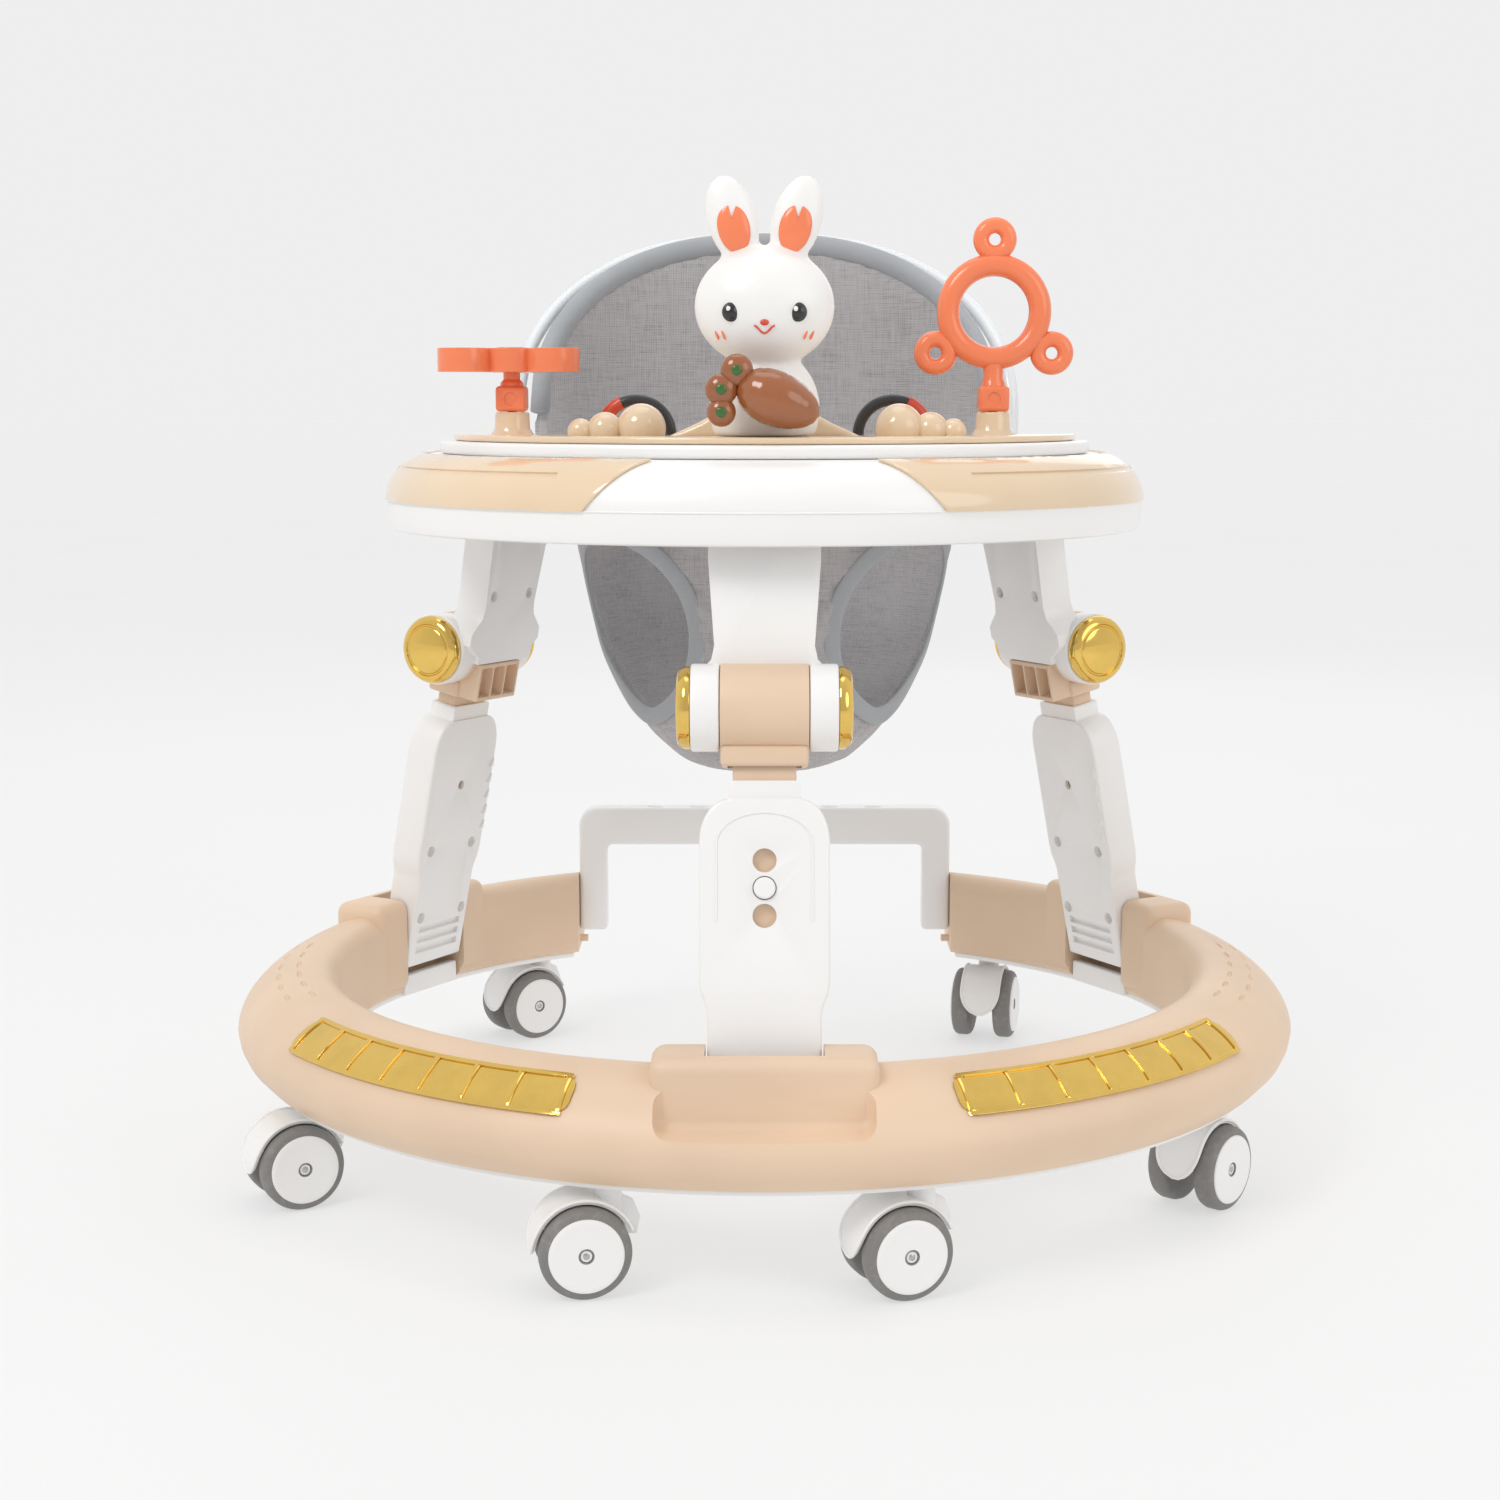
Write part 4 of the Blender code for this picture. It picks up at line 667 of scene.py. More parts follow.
for side in ("left", "right"):
    body = f"lock_tab_{side}"
    add(f"tab_{side}", rounded(block(*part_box(body)), 0.8 * MM), PEACH, body, body)
for spot in ("rear_left", "rear_right"):
    x, y, _ = JOINTS[f"caster_{spot}_swivel"]["pos_m"]
    pad = ball((14 * MM, 9 * MM, 3 * MM))
    add(f"pad_{spot}", pad, PEACH, "base", place=Matrix.Translation((x, y, plate_low - 0.5 * MM)))
print("rear bar done")

# %% [markdown]
# ## Casters
#
# Each caster has a hood: a strap bent round the wheels that ends in a round tongue on the trailing side,
# with a thin raised rim. An upright fin joins it to the stem. Two narrow wheels run on one axle.

# %% Hood
WHEEL_R = (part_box("caster_front_left_wheel_left")[1].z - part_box("caster_front_left_wheel_left")[0].z) / 2
HOOD_R, HALF, TRAIL = WHEEL_R + 2.1 * MM, 14.5 * MM, 15 * MM
FIRST, LAST, TONGUE = math.radians(22), math.radians(186), math.radians(38)


def hood_half(turn):
    """Half width of the strap: full, then a half ellipse at the trailing end."""
    late = max(0.0, (turn - (LAST - TONGUE)) / TONGUE)
    return HALF * math.sqrt(max(0.02, 1 - late ** 2))


rows, cols = 40, 12
points, faces, edge = [], [], []
for i in range(rows + 1):
    turn = FIRST + (LAST - FIRST) * i / rows
    half = hood_half(turn)
    spine = Vector((-HOOD_R * math.cos(turn), 0, HOOD_R * math.sin(turn)))
    points += [spine + Vector((0, half * (2 * j / cols - 1), 0)) for j in range(cols + 1)]
    edge.append((spine * 1.03, half))
for i in range(rows):
    for j in range(cols):
        a = i * (cols + 1) + j
        faces.append((a, a + 1, a + cols + 2, a + cols + 1))
strap = after(mesh_of(points, faces), "SOLIDIFY", thickness=2.2 * MM, offset=0.0)
strap = rounded(strap, 0.6 * MM, 2, 50)


def bead(path, radius):
    """A thin round bead along a path, made as a curve."""
    curve = bpy.data.curves.new("bead", "CURVE")
    curve.dimensions = "3D"
    curve.bevel_depth, curve.bevel_resolution, curve.use_fill_caps = radius, 3, True
    spline = curve.splines.new("POLY")
    spline.points.add(len(path) - 1)
    for point, at in zip(spline.points, path):
        point.co = (*at, 1)
    holder = bpy.data.objects.new("bead", curve)
    bpy.context.scene.collection.objects.link(holder)
    graph = bpy.context.evaluated_depsgraph_get()
    made = bpy.data.meshes.new_from_object(holder.evaluated_get(graph))
    bpy.data.objects.remove(holder)
    return made


rim_path = [p + Vector((0, h, 0)) for p, h in edge] + [p - Vector((0, h, 0)) for p, h in reversed(edge)]
rim_bead = bead(rim_path, 1.1 * MM)
fin = [(-(HOOD_R - 1 * MM) * math.cos(FIRST + (LAST - FIRST) * i / 24 * 0.8),
        (HOOD_R - 1 * MM) * math.sin(FIRST + (LAST - FIRST) * i / 24 * 0.8)) for i in range(25)]
fin = rounded(prism([(0, -7 * MM), (-12 * MM, -4 * MM)] + fin, -4 * MM, 4 * MM), 1.2 * MM)
ear = [(-HOOD_R - 3 * MM, 4 * MM), (-HOOD_R - 5 * MM, 14 * MM), (-HOOD_R - 1 * MM, 24 * MM)]
ear += mm((-16, 31), (-8, 30), (-14, 18), (-20, 5))
ear = rounded(prism(ear, -2.2 * MM, 2.2 * MM), 1 * MM)
axle = joined(rod("Y", 7 * MM, -8 * MM, 8 * MM, round_off=1 * MM), rod("Y", 3.2 * MM, -22.4 * MM, 22.4 * MM))
above = Matrix.Translation((TRAIL, 0, WHEEL_R))
caster_parts = together(strap, rim_bead, fin, ear, axle)
caster_parts.transform(above)
stem_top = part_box("caster_front_left_housing")[1].z
boss = joined(rod("Z", 8 * MM, WHEEL_R, plate_low - 0.3 * MM, round_off=1 * MM),
              rod("Z", 4 * MM, plate_low - 4 * MM, stem_top))
hood_mesh = together(caster_parts, boss)

# %% [markdown]
# A wheel is a dull grey tyre with rounded shoulders round a white disc. The disc is dished, with a small
# recess and a steel rivet in the middle.

# %% Wheel
tyre_profile = mm((3.6, -7), (20.5, -7), (21.6, -6.6), (23.6, -6.4), (25.2, -5.2), (26, -3.2), (26, 3.2),
                  (25.2, 5.2), (23.6, 6.4), (21.6, 6.6), (20.5, 7), (3.6, 7))
tyre = pointed(swept(tyre_profile, 0, 360, 72, closed=True), "Y")
disc = lathe(mm((0, 5.2), (3.9, 5.2), (4.5, 7.1), (11, 7.5), (18, 7.6), (19.6, 7.9), (21, 7.4), (21.4, 6.2),
                (0, 4)), 64, "Y")
rivet = lathe(mm((0, 5), (2.4, 5), (2.2, 6.3), (1.2, 6.9), (0, 7)), 24, "Y")
for spot in ("front_left", "front_right", "side_left", "side_right", "rear_left", "rear_right"):
    stem = Vector(JOINTS[f"caster_{spot}_swivel"]["pos_m"])
    axis = Vector(JOINTS[f"caster_{spot}_wheel_left_spin"]["axis"])
    turn = math.atan2(-axis.x, axis.y)
    swivel = Matrix.Translation((stem.x, stem.y, 0)) @ Matrix.Rotation(turn, 4, "Z")
    add(f"hood_{spot}", hood_mesh, WHITE, f"caster_{spot}", f"caster_{spot}_housing", swivel)
    for side, sign in (("left", -1), ("right", 1)):
        body = f"caster_{spot}_wheel_{side}"
        place = swivel @ Matrix.Translation((TRAIL, sign * 16 * MM, WHEEL_R))
        add(f"tyre_{spot}_{side}", tyre, TYRE, body, body, place)
        for kind, mesh, material in (("disc", disc, WHITE), ("rivet", rivet, STEEL)):
            side_mesh = mesh if sign > 0 else mirrored(mesh, (0, 1, 0))
            add(f"{kind}_{spot}_{side}", side_mesh, material, body, place=place)
print("casters done")

# %% [markdown]
# ## Legs
#
# All three legs are alike. Each is made once at its own origin, with +Z up the leg and +Y towards the
# centre, and then placed three times.

# %% Lower leg shell
neck_end = LEG - 42 * MM
neck_start, bulge_end = neck_end - 10.5 * MM, neck_end - 35 * MM
side = mm((32, -14), (32, 52), (33.2, 57), (35.6, 63), (36.75, 70))
for i in range(13):
    turn = math.pi / 2 * i / 12
    side.append((20.5 * MM + 16.25 * MM * math.cos(turn),
                 bulge_end + (neck_start - bulge_end) * math.sin(turn)))
side.append((20.5 * MM, neck_end))
leg_shell = rounded(prism(side + [(-x, z) for x, z in reversed(side)], -13.5 * MM, 11.5 * MM), 4 * MM, 4)
button_at = neck_end - 60.5 * MM
holes = [rod("Y", 6.75 * MM, -30 * MM, 0, 32, (0, 0, button_at + k * 15.5 * MM)) for k in (-1, 0, 1)]
holes.append(rod("Y", 3.4 * MM, 3 * MM, 30 * MM, 24, (0, 0, button_at)))
for x in (-24, 24):
    for z in (24, 75):
        holes.append(rod("Y", 4.2 * MM, 7 * MM, 30 * MM, 24, (x * MM, 0, z * MM)))
holes.append(block((-18.35 * MM, -8.35 * MM, 66 * MM), (18.35 * MM, 8.35 * MM, LEG)))
for low, high in ((-30 * MM, -10.2 * MM), (10.2 * MM, 30 * MM)):
    holes.append(block((-40 * MM, low, neck_start), (40 * MM, high, LEG)))
for z in (-4, 4, 12):
    holes.append(block((-24 * MM, 8.5 * MM, z * MM), (24 * MM, 20 * MM, (z + 5) * MM)))
leg_shell = rounded(cut(leg_shell, *holes), 0.7 * MM, 2, 50)
arch_path = [(-27 * MM, -13.6 * MM, 104 * MM), (-27 * MM, -13.6 * MM, bulge_end - 4 * MM)]
for i in range(17):
    turn = math.pi - math.pi * i / 16
    arch_path.append((27 * MM * math.cos(turn), -13.6 * MM, bulge_end + 17 * MM * math.sin(turn)))
arch_path.append((27 * MM, -13.6 * MM, 104 * MM))
ribs = [rounded(prism(mm((-35, z), (-31, z), (-35, z + 7)), 10 * MM, 12.6 * MM), 0.4 * MM)
        for z in (84, 96, 108, 120, 132)]
trunnion = rod("X", 5 * MM, -43 * MM, 43 * MM)
leg_mesh = together(leg_shell, bead([Vector(p) for p in arch_path], 0.7 * MM), trunnion, *ribs)
button_mesh = lathe([(0, -1.3 * MM), (6.2 * MM, -1.3 * MM), (6.2 * MM, 5.4 * MM), (5.3 * MM, 6.4 * MM),
                     (0, 6.9 * MM)], 40, "Y")
button_mesh = mirrored(button_mesh, (0, 1, 0))
print("lower leg", len(leg_mesh.polygons), "faces")

# %% [markdown]
# The sliding tube carries the knee barrel on a flange that comes down over the leg's neck. A ribbed stop
# on the inner side takes the upper bracket's lower edge.

# %% Tube, bracket and caps
flange = rounded(block((-24.9 * MM, -13 * MM, -34 * MM), (24.9 * MM, 13 * MM, -22 * MM)), 2.5 * MM, 3)
flange = cut(flange, block((-21 * MM, -10.7 * MM, -50 * MM), (21 * MM, 10.7 * MM, -25.2 * MM)))
throat = rounded(block((-23 * MM, -11.5 * MM, -25 * MM), (23 * MM, 11.5 * MM, -8 * MM)), 2 * MM, 3)
stop = block((-23 * MM, 11 * MM, -33 * MM), (23 * MM, 29 * MM, -6 * MM))
pockets = [block(((-21 + 14.6 * i) * MM, 20 * MM, -30 * MM), ((-21 + 14.6 * i + 12.6) * MM, 32 * MM, -9 * MM))
           for i in range(3)]
stop = rounded(cut(stop, *pockets), 0.8 * MM, 2)
barrel = rod("X", 25 * MM, -25.2 * MM, 25.2 * MM, 72, round_off=1.2 * MM)
slide = rounded(block((-18 * MM, -8 * MM, 85 * MM - LEG), (18 * MM, 8 * MM, -24 * MM)), 1.5 * MM)
slide = cut(slide, rod("Y", 6.6 * MM, -16 * MM, -3.2 * MM, 32, (0, 0, button_at - LEG)))
tube_mesh = together(flange, throat, stop, barrel, slide)
hip = Vector(JOINTS["hip_front"]["pos_m"])
hip_local = leg_place("front", True).inverted() @ hip
top = hip_local.z + 9 * MM
web_side = mm((28, -5), (28, 0), (33, 3), (40.5, 9), (40.5, 17), (36, 22), (30.5, 28), (28.8, 36))
web_side += [(32.4 * MM, 29 * MM + 0.6 * (top - 29 * MM)), (32.4 * MM, top - 6 * MM), (26.4 * MM, top)]
web = prism(web_side + [(-x, z) for x, z in reversed(web_side)], hip_local.y - 12 * MM, hip_local.y + 12 * MM)
recesses = [rod("Y", 4 * MM, hip_local.y + 8 * MM, hip_local.y + 20 * MM, 24, (x * MM, 0, z * MM))
            for x in (-21, 21) for z in (44, 88)]
web = rounded(cut(web, rod("X", 25.4 * MM, -25.6 * MM, 25.6 * MM, 72), *recesses), 1.8 * MM, 3, 40)
knuckle = rod("X", 25 * MM, 25.6 * MM, 41.9 * MM, 72, round_off=1.5 * MM)
hip_pin = rod("X", 4.5 * MM, -36 * MM, 36 * MM, 40, (0, hip_local.y, hip_local.z))
bracket_mesh = together(web, knuckle, mirrored(knuckle), hip_pin)
cap_profile = mm((0, 0), (23.4, 0), (23.8, 1), (23.6, 3.2), (22.4, 5.6), (20.2, 7.2), (18.4, 7.6),
                 (17.6, 6.6), (16.8, 6.6), (16.2, 7.4), (15, 7.9), (0, 8))
cap = moved(lathe(cap_profile, 72, "X"), (42.25 * MM, 0, 0))
pin_mesh = rod("X", 6 * MM, -41 * MM, 41 * MM)
for leg in AZIMUTH:
    foot, knee = leg_place(leg), leg_place(leg, True)
    add(f"leg_shell_{leg}", leg_mesh, WHITE, f"lower_leg_{leg}", f"lower_leg_{leg}", foot)
    add(f"button_{leg}", button_mesh, WHITE, f"height_button_{leg}", f"height_button_{leg}",
        foot @ Matrix.Translation((0, -9.6 * MM, button_at)))
    add(f"tube_{leg}", tube_mesh, PEACH, f"height_tube_{leg}", f"height_tube_{leg}", knee)
    add(f"bracket_{leg}", bracket_mesh, WHITE, f"upper_bracket_{leg}", f"upper_bracket_{leg}", knee)
    add(f"pin_{leg}", pin_mesh, STEEL, f"upper_bracket_{leg}", f"knee_pin_{leg}", knee)
    for side, mesh in (("right", cap), ("left", mirrored(cap))):
        add(f"cap_{leg}_{side}", mesh, GOLD, f"upper_bracket_{leg}", f"knee_cap_{leg}_{side}", knee, sharp=50)
print("legs done")

# %% [markdown]
# ## Tray
#
# The tray is a shallow round shell: an upright white band, a slope, a flat deck with the seat hole, and a
# hollow underside with an ear on each side of every hip.

# %% Tray shell
BAND = TRAY_LOW + 19 * MM
HOLE_X, HOLE_D, HOLE_Y = TRAY_R - 113 * MM, TRAY_R - 134 * MM, 50 * MM


def slope(out=0.0, steps=12):
    """The tray's slope, from the top of the band up to the deck."""
    turns = [math.pi / 2 * i / steps for i in range(steps + 1)]
    return [(TRAY_R - 32 * MM + (32 * MM + out) * math.cos(t), BAND + (DECK - BAND + out) * math.sin(t))
            for t in turns]


def oval(grow, steps=96):
    turns = [2 * math.pi * i / steps for i in range(steps)]
    return [((HOLE_X + grow) * math.cos(t), HOLE_Y + (HOLE_D + grow) * math.sin(t)) for t in turns]


outside = lathe([(0, TRAY_LOW), (TRAY_R - 3 * MM, TRAY_LOW), (TRAY_R - 0.8 * MM, TRAY_LOW + 1 * MM),
                 (TRAY_R, TRAY_LOW + 3.5 * MM)] + slope() + [(0, DECK)], 160)
inside = lathe([(0, TRAY_LOW - 3 * MM), (TRAY_R - 4 * MM, TRAY_LOW - 3 * MM)] + slope(-3 * MM) +
               [(0, DECK - 3 * MM)], 128)
tray = cut(outside, inside)
tray = joined(tray, prism(oval(3 * MM), DECK - 13 * MM, DECK - 1.5 * MM, "Z"))
tray = rounded(cut(tray, prism(oval(0), DECK - 30 * MM, DECK + 30 * MM, "Z")), 1.2 * MM, 3, 50)
ears = []
hip_r = CENTRE.y - hip.y
for leg, azimuth in AZIMUTH.items():
    inner = 33.4 * MM if leg == "front" else 46.4 * MM
    for sign in (-1, 1):
        outline = [(-hip_r - 9.5 * MM, DECK - 3 * MM)]
        for i in range(13):
            turn = math.pi + math.pi * i / 12
            outline.append((-hip_r + 9.5 * MM * math.cos(turn), hip.z + 9.5 * MM * math.sin(turn)))
        outline.append((-hip_r + 9.5 * MM, DECK - 3 * MM))
        ear = prism(outline, -2 * MM, 2 * MM)
        ear.transform(Matrix.Translation((sign * (inner + 2 * MM), 0, 0))
                      @ Matrix.Rotation(math.pi / 2, 4, "Z"))
        ear = rounded(ear, 0.6 * MM, 2)
        ear.transform(Matrix.Rotation(math.radians(azimuth), 4, "Z"))
        ears.append(ear)
seam_r = TRAY_R + 0.1 * MM
seam = bead([Vector((seam_r * math.sin(math.radians(a)), -seam_r * math.cos(math.radians(a)), BAND))
             for a in range(0, 361, 3)], 0.6 * MM)
add("tray_shell", together(tray, seam, *ears), WHITE, "tray", "tray", AT_CENTRE)

# %% [markdown]
# Two glossy panels lie on the slope. Their front ends are slanted, and each has a long recessed slot and
# a short one behind it.

# %% Panels
under, over = slope(0.3 * MM)[:-2], slope(1.8 * MM)[:-2]
last = len(under) - 1
starts = [17 + 8 * (1 - i / last) for i in range(len(under))]
panel = swept(under + over[::-1], starts + starts[::-1], 112, 120)
low_slot, high_slot = slope(0.7 * MM)[5:7], slope(4 * MM)[5:7]
long_slot = swept(low_slot + high_slot[::-1], 30, 88, 60)
short_slot = swept(low_slot + high_slot[::-1], 95, 107, 16)
panel = rounded(cut(panel, long_slot, short_slot), 0.4 * MM, 2, 40)
for side, mesh in (("right", panel), ("left", mirrored(panel))):
    add(f"panel_{side}", mesh, GLOSS_PEACH, "tray", f"tray_panel_{side}", AT_CENTRE)
print("tray done")


# %% [markdown]
# ## Toy tray
#
# A white rim and a peach plate make a crescent in front of the seat hole. Little hills, a peaked ridge and
# two posts are moulded on the plate.

# %% Rim and plate
def crescent(inset, grow):
    radius, rear = TRAY_R - inset, 220 * MM - TRAY_R
    far = math.acos(-rear / radius)
    outline = [(radius * math.sin(-far + 2 * far * i / 96), -radius * math.cos(-far + 2 * far * i / 96))
               for i in range(97)]
    half_x, half_y = HOLE_X + grow, HOLE_D + grow
    near = math.asin((HOLE_Y - rear) / half_y)
    for i in range(49):
        turn = -near - (math.pi - 2 * near) * i / 48
        outline.append((half_x * math.cos(turn), HOLE_Y + half_y * math.sin(turn)))
    return outline


rim_low, rim_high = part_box("toy_tray_rim")[0].z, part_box("toy_tray_rim")[1].z
PLATE = rim_high + 4.3 * MM
rim = rounded(prism(crescent(34 * MM, 14 * MM), rim_low, rim_high, "Z"), 2.6 * MM, 4, 50)
add("toy_rim", rim, WHITE, "toy_tray", "toy_tray_rim", AT_CENTRE)
plate = rounded(prism(crescent(43 * MM, 8 * MM), rim_high + 0.3 * MM, PLATE, "Z"), 1.3 * MM, 3, 50)
extras = []
for x, size in ((-112, 8), (-97, 11), (-75, 15), (82, 15), (101, 11), (115, 8)):
    extras.append(ball((size * MM,) * 3, (x * MM, 126 * MM - TRAY_R, PLATE + size * 0.3 * MM)))
ridge_y = 124 * MM - TRAY_R
crest = PLATE + 17 * MM
ridge = prism([(-62 * MM, PLATE - 2 * MM), (62 * MM, PLATE - 2 * MM), (40 * MM, PLATE + 8 * MM),
               (24 * MM, crest), (0, crest - 3 * MM), (-24 * MM, crest), (-40 * MM, PLATE + 8 * MM)],
              ridge_y - 10 * MM, ridge_y + 10 * MM)
extras.append(rounded(ridge, 4 * MM, 4, 20))
spinner_at = Vector(JOINTS["spinner_turn"]["pos_m"]) - CENTRE
ring_at = Vector(JOINTS["ring_toy_turn"]["pos_m"]) - CENTRE
for at in (spinner_at, ring_at):
    foot = lathe([(0, PLATE - 2 * MM), (14 * MM, PLATE - 1 * MM), (12.2 * MM, PLATE + 2 * MM),
                  (11 * MM, PLATE + 4 * MM), (10.6 * MM, at.z - 1 * MM), (9.8 * MM, at.z), (0, at.z)], 48)
    extras.append(moved(foot, (at.x, at.y, 0)))
    extras.append(moved(rod("Z", 3 * MM, at.z - 2 * MM, at.z + 11.5 * MM, 24), (at.x, at.y, 0)))
add("toy_base", together(plate, *extras), GLOSS_PEACH, "toy_tray", "toy_plate", AT_CENTRE)

# %% [markdown]
# The spinner is a three-lobed wheel on a neck and a square block. The ring toy is an upright ring with
# three small ones. Both turn on their posts.

# %% Spinner and ring toy
block_mesh = rounded(block((-9.5 * MM, -9.5 * MM, 0.3 * MM), (9.5 * MM, 9.5 * MM, 16 * MM)), 2.5 * MM, 4)
dimple = rod("Y", 4 * MM, -20 * MM, -8.6 * MM, 32, (0, 0, 8 * MM))
block_mesh = rounded(cut(block_mesh, dimple), 0.5 * MM, 2, 50)
low = 26 * MM
turns = [math.radians(90 + 120 * i) for i in range(3)]
lobes = [rod("Z", 16 * MM, low - 1.5 * MM, low + 13 * MM, 48,
             (32 * MM * math.cos(t), 32 * MM * math.sin(t), 0)) for t in turns]
star = joined(rod("Z", 22 * MM, low - 1.5 * MM, low + 13 * MM, 64), *lobes)
star = rounded(star, 3.5 * MM, 4, 30)
hub = lathe(mm((0, 15), (7.5, 15), (7, 18), (5.2, 20), (5.2, 24), (9, 26), (9, 28), (0, 28)), 40)
button = lathe(mm((0, 38), (10, 38), (9.4, 39.6), (7, 39.9), (0, 40)), 40)
spinner_place = AT_CENTRE @ Matrix.Translation(spinner_at)
add("spinner_star", together(star, hub, button), ORANGE, "spinner", "spinner", spinner_place)
add("spinner_block", block_mesh, ORANGE, "spinner", place=spinner_place)
centre_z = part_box("ring_toy")[1].z - ring_at.z - 57.5 * MM
neck = lathe(mm((0, 15), (8, 15), (7.4, 18), (6, 21))
             + [(6.4 * MM, centre_z - 32 * MM), (0, centre_z - 31 * MM)], 40)
rings = [ring("Y", 28.5 * MM, 7 * MM, (0, 0, centre_z), steps=72)]
for turn in (90, 215, -35):
    t = math.radians(turn)
    rings.append(ring("Y", 8.5 * MM, 5 * MM, (44 * MM * math.cos(t), 0, centre_z + 44 * MM * math.sin(t))))
ring_place = AT_CENTRE @ Matrix.Translation(ring_at)
add("ring_toy_rings", together(neck, *rings), ORANGE, "ring_toy", "ring_toy", ring_place)
add("ring_toy_block", block_mesh, ORANGE, "ring_toy", place=ring_place)

# %% [markdown]
# Two dark half rings stand on the plate, each with a red sleeve on its outer side.

# %% Arches
for side, sign in (("left", -1), ("right", 1)):
    low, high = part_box(f"arch_{side}")
    foot = Vector(((low.x + high.x) / 2, (low.y + high.y) / 2, PLATE))
    arch = ring("Y", 21.5 * MM, 3.6 * MM, start=-90, end=90)
    start, end = sorted((sign * 25, sign * 62))
    sleeve = ring("Y", 21.8 * MM, 4.3 * MM, start=start, end=end, steps=20)
    place = Matrix.Translation(foot)
    add(f"arch_ring_{side}", arch, DARK, "toy_tray", f"arch_{side}", place)
    add(f"arch_sleeve_{side}", sleeve, RED_ORANGE, "toy_tray", place=place)
print("toys done")

# %% [markdown]
# ## Bunny and carrot
#
# The bunny is one smooth body: head, ears and chest are joined and their creases softened by a remesh. Its
# face is small separate pieces, so that each keeps its own colour and edge.

# %% Bunny
low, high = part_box("bunny")
bunny_at = Vector(((low.x + high.x) / 2, (low.y + high.y) / 2, PLATE))
parts = [ball((33 * MM, 19 * MM, 36 * MM), (0, 0, 16 * MM)),
         ball((41.5 * MM, 30 * MM, 35.5 * MM), (0, 0, 76 * MM))]
for sign in (-1, 1):
    parts.append(ball((15 * MM, 8 * MM, 27 * MM), (sign * 19 * MM, 0, 126 * MM), tilt=sign * 16))
bunny = cut(joined(parts[0], *parts[1:]), block((-1, -1, -1), (1, 1, 0.3 * MM)))
bunny = after(bunny, "REMESH", mode="VOXEL", voxel_size=1.8 * MM)
bunny = after(bunny, "SMOOTH", factor=0.6, iterations=8)
place = Matrix.Translation(bunny_at)
add("bunny_body", bunny, SOFT_WHITE, "toy_tray", "bunny", place, sharp=80)


def on_head(x, z, out=0.0):
    """A point on the front of the head, at a width and a height over the plate."""
    share = 1 - (x / 0.0415) ** 2 - ((z - 0.076) / 0.0355) ** 2
    return Vector((x, -0.030 * math.sqrt(max(0.0, share)) - out, z))


face = []
for sign in (-1, 1):
    eye = on_head(sign * 19.5 * MM, 72 * MM, -0.6 * MM)
    face.append((f"eye_rim_{sign}", ball((5.2 * MM, 2.2 * MM, 5.6 * MM), eye), DARK))
    face.append((f"eye_{sign}", ball((4.3 * MM, 2.8 * MM, 4.7 * MM), eye), BLACK))
    glint = on_head(sign * 19.5 * MM - 1.4 * MM, 73.8 * MM, 2.0 * MM)
    face.append((f"glint_{sign}", ball((1.3 * MM, 0.7 * MM, 1.5 * MM), glint), SOFT_WHITE))
    for k in (0, 1):
        spot = on_head(sign * (24 + 3.8 * k) * MM, 59 * MM, 0.1 * MM)
        cheek = ball((0.8 * MM, 0.8 * MM, 3 * MM), spot, tilt=sign * 20)
        face.append((f"cheek_{sign}_{k}", cheek, ORANGE))
    insert = ball((9.5 * MM, 3.2 * MM, 14.5 * MM), (sign * 18 * MM, -6.2 * MM, 121 * MM), tilt=sign * 14)
    notch = prism([(sign * 19.5 * MM, 126 * MM), (sign * 19.5 * MM + 5 * MM, 140 * MM),
                   (sign * 19.5 * MM - 3 * MM, 140 * MM)][::int(sign)], -20 * MM, 20 * MM)
    face.append((f"ear_insert_{sign}", cut(insert, notch), ORANGE))
face.append(("nose", ball((2.6 * MM, 1.4 * MM, 1.8 * MM), on_head(0, 66 * MM)), RED_ORANGE))
mouth = [on_head(x * MM, (62 - 2.2 * math.cos(x * 0.5)) * MM, 0.2 * MM) for x in range(-6, 7)]
face.append(("mouth", bead(mouth, 0.6 * MM), RED_ORANGE))
for name, mesh, material in face:
    add(f"bunny_{name}", mesh, material, "toy_tray", place=place)

# %% [markdown]
# The carrot is a fat root with a few shallow rings, and three round leaves, each with a green spot.

# %% Carrot
low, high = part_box("carrot")
root_at = Vector((8 * MM, (low.y + high.y) / 2, PLATE + 21.5 * MM))
profile = []
for i in range(33):
    share = -1 + 2 * i / 32
    body = math.sqrt(max(0.0, 1 - share ** 2)) * (1 - 0.12 * share)
    ripple = 0.35 * MM * max(0.0, math.cos(share * 22)) ** 6
    profile.append((max(0.0, body * 16 * MM - ripple), share * 25.5 * MM))
root = lathe(profile, 56, "X")
root.transform(Matrix.Rotation(math.radians(22), 4, "Y"))
add("carrot_root", root, BROWN, "toy_tray", "carrot", Matrix.Translation(root_at), sharp=60)
for i, (x, z, size) in enumerate(((-24, 17, 9.5), (-33, 6, 9.5), (-33, -7, 8.5))):
    leaf = ball((size * MM, 6.5 * MM, size * MM), (x * MM, -2 * MM, z * MM))
    spot = ball((3.1 * MM, 1.2 * MM, 3.1 * MM), (x * MM, -8.2 * MM, z * MM))
    add(f"carrot_leaf_{i}", leaf, BROWN, "toy_tray", place=Matrix.Translation(root_at))
    add(f"carrot_spot_{i}", spot, LEAF, "toy_tray", place=Matrix.Translation(root_at))
print("bunny and carrot done")

# %% [markdown]
# ## Seat back
#
# The padded back curves round the rear of the seat. It starts as a plain curved slab, is remeshed evenly,
# and is then blown up a little by a cloth simulation with pressure, so that it gets a soft, uneven swell.
# The swell is capped, so that it stays in its place.

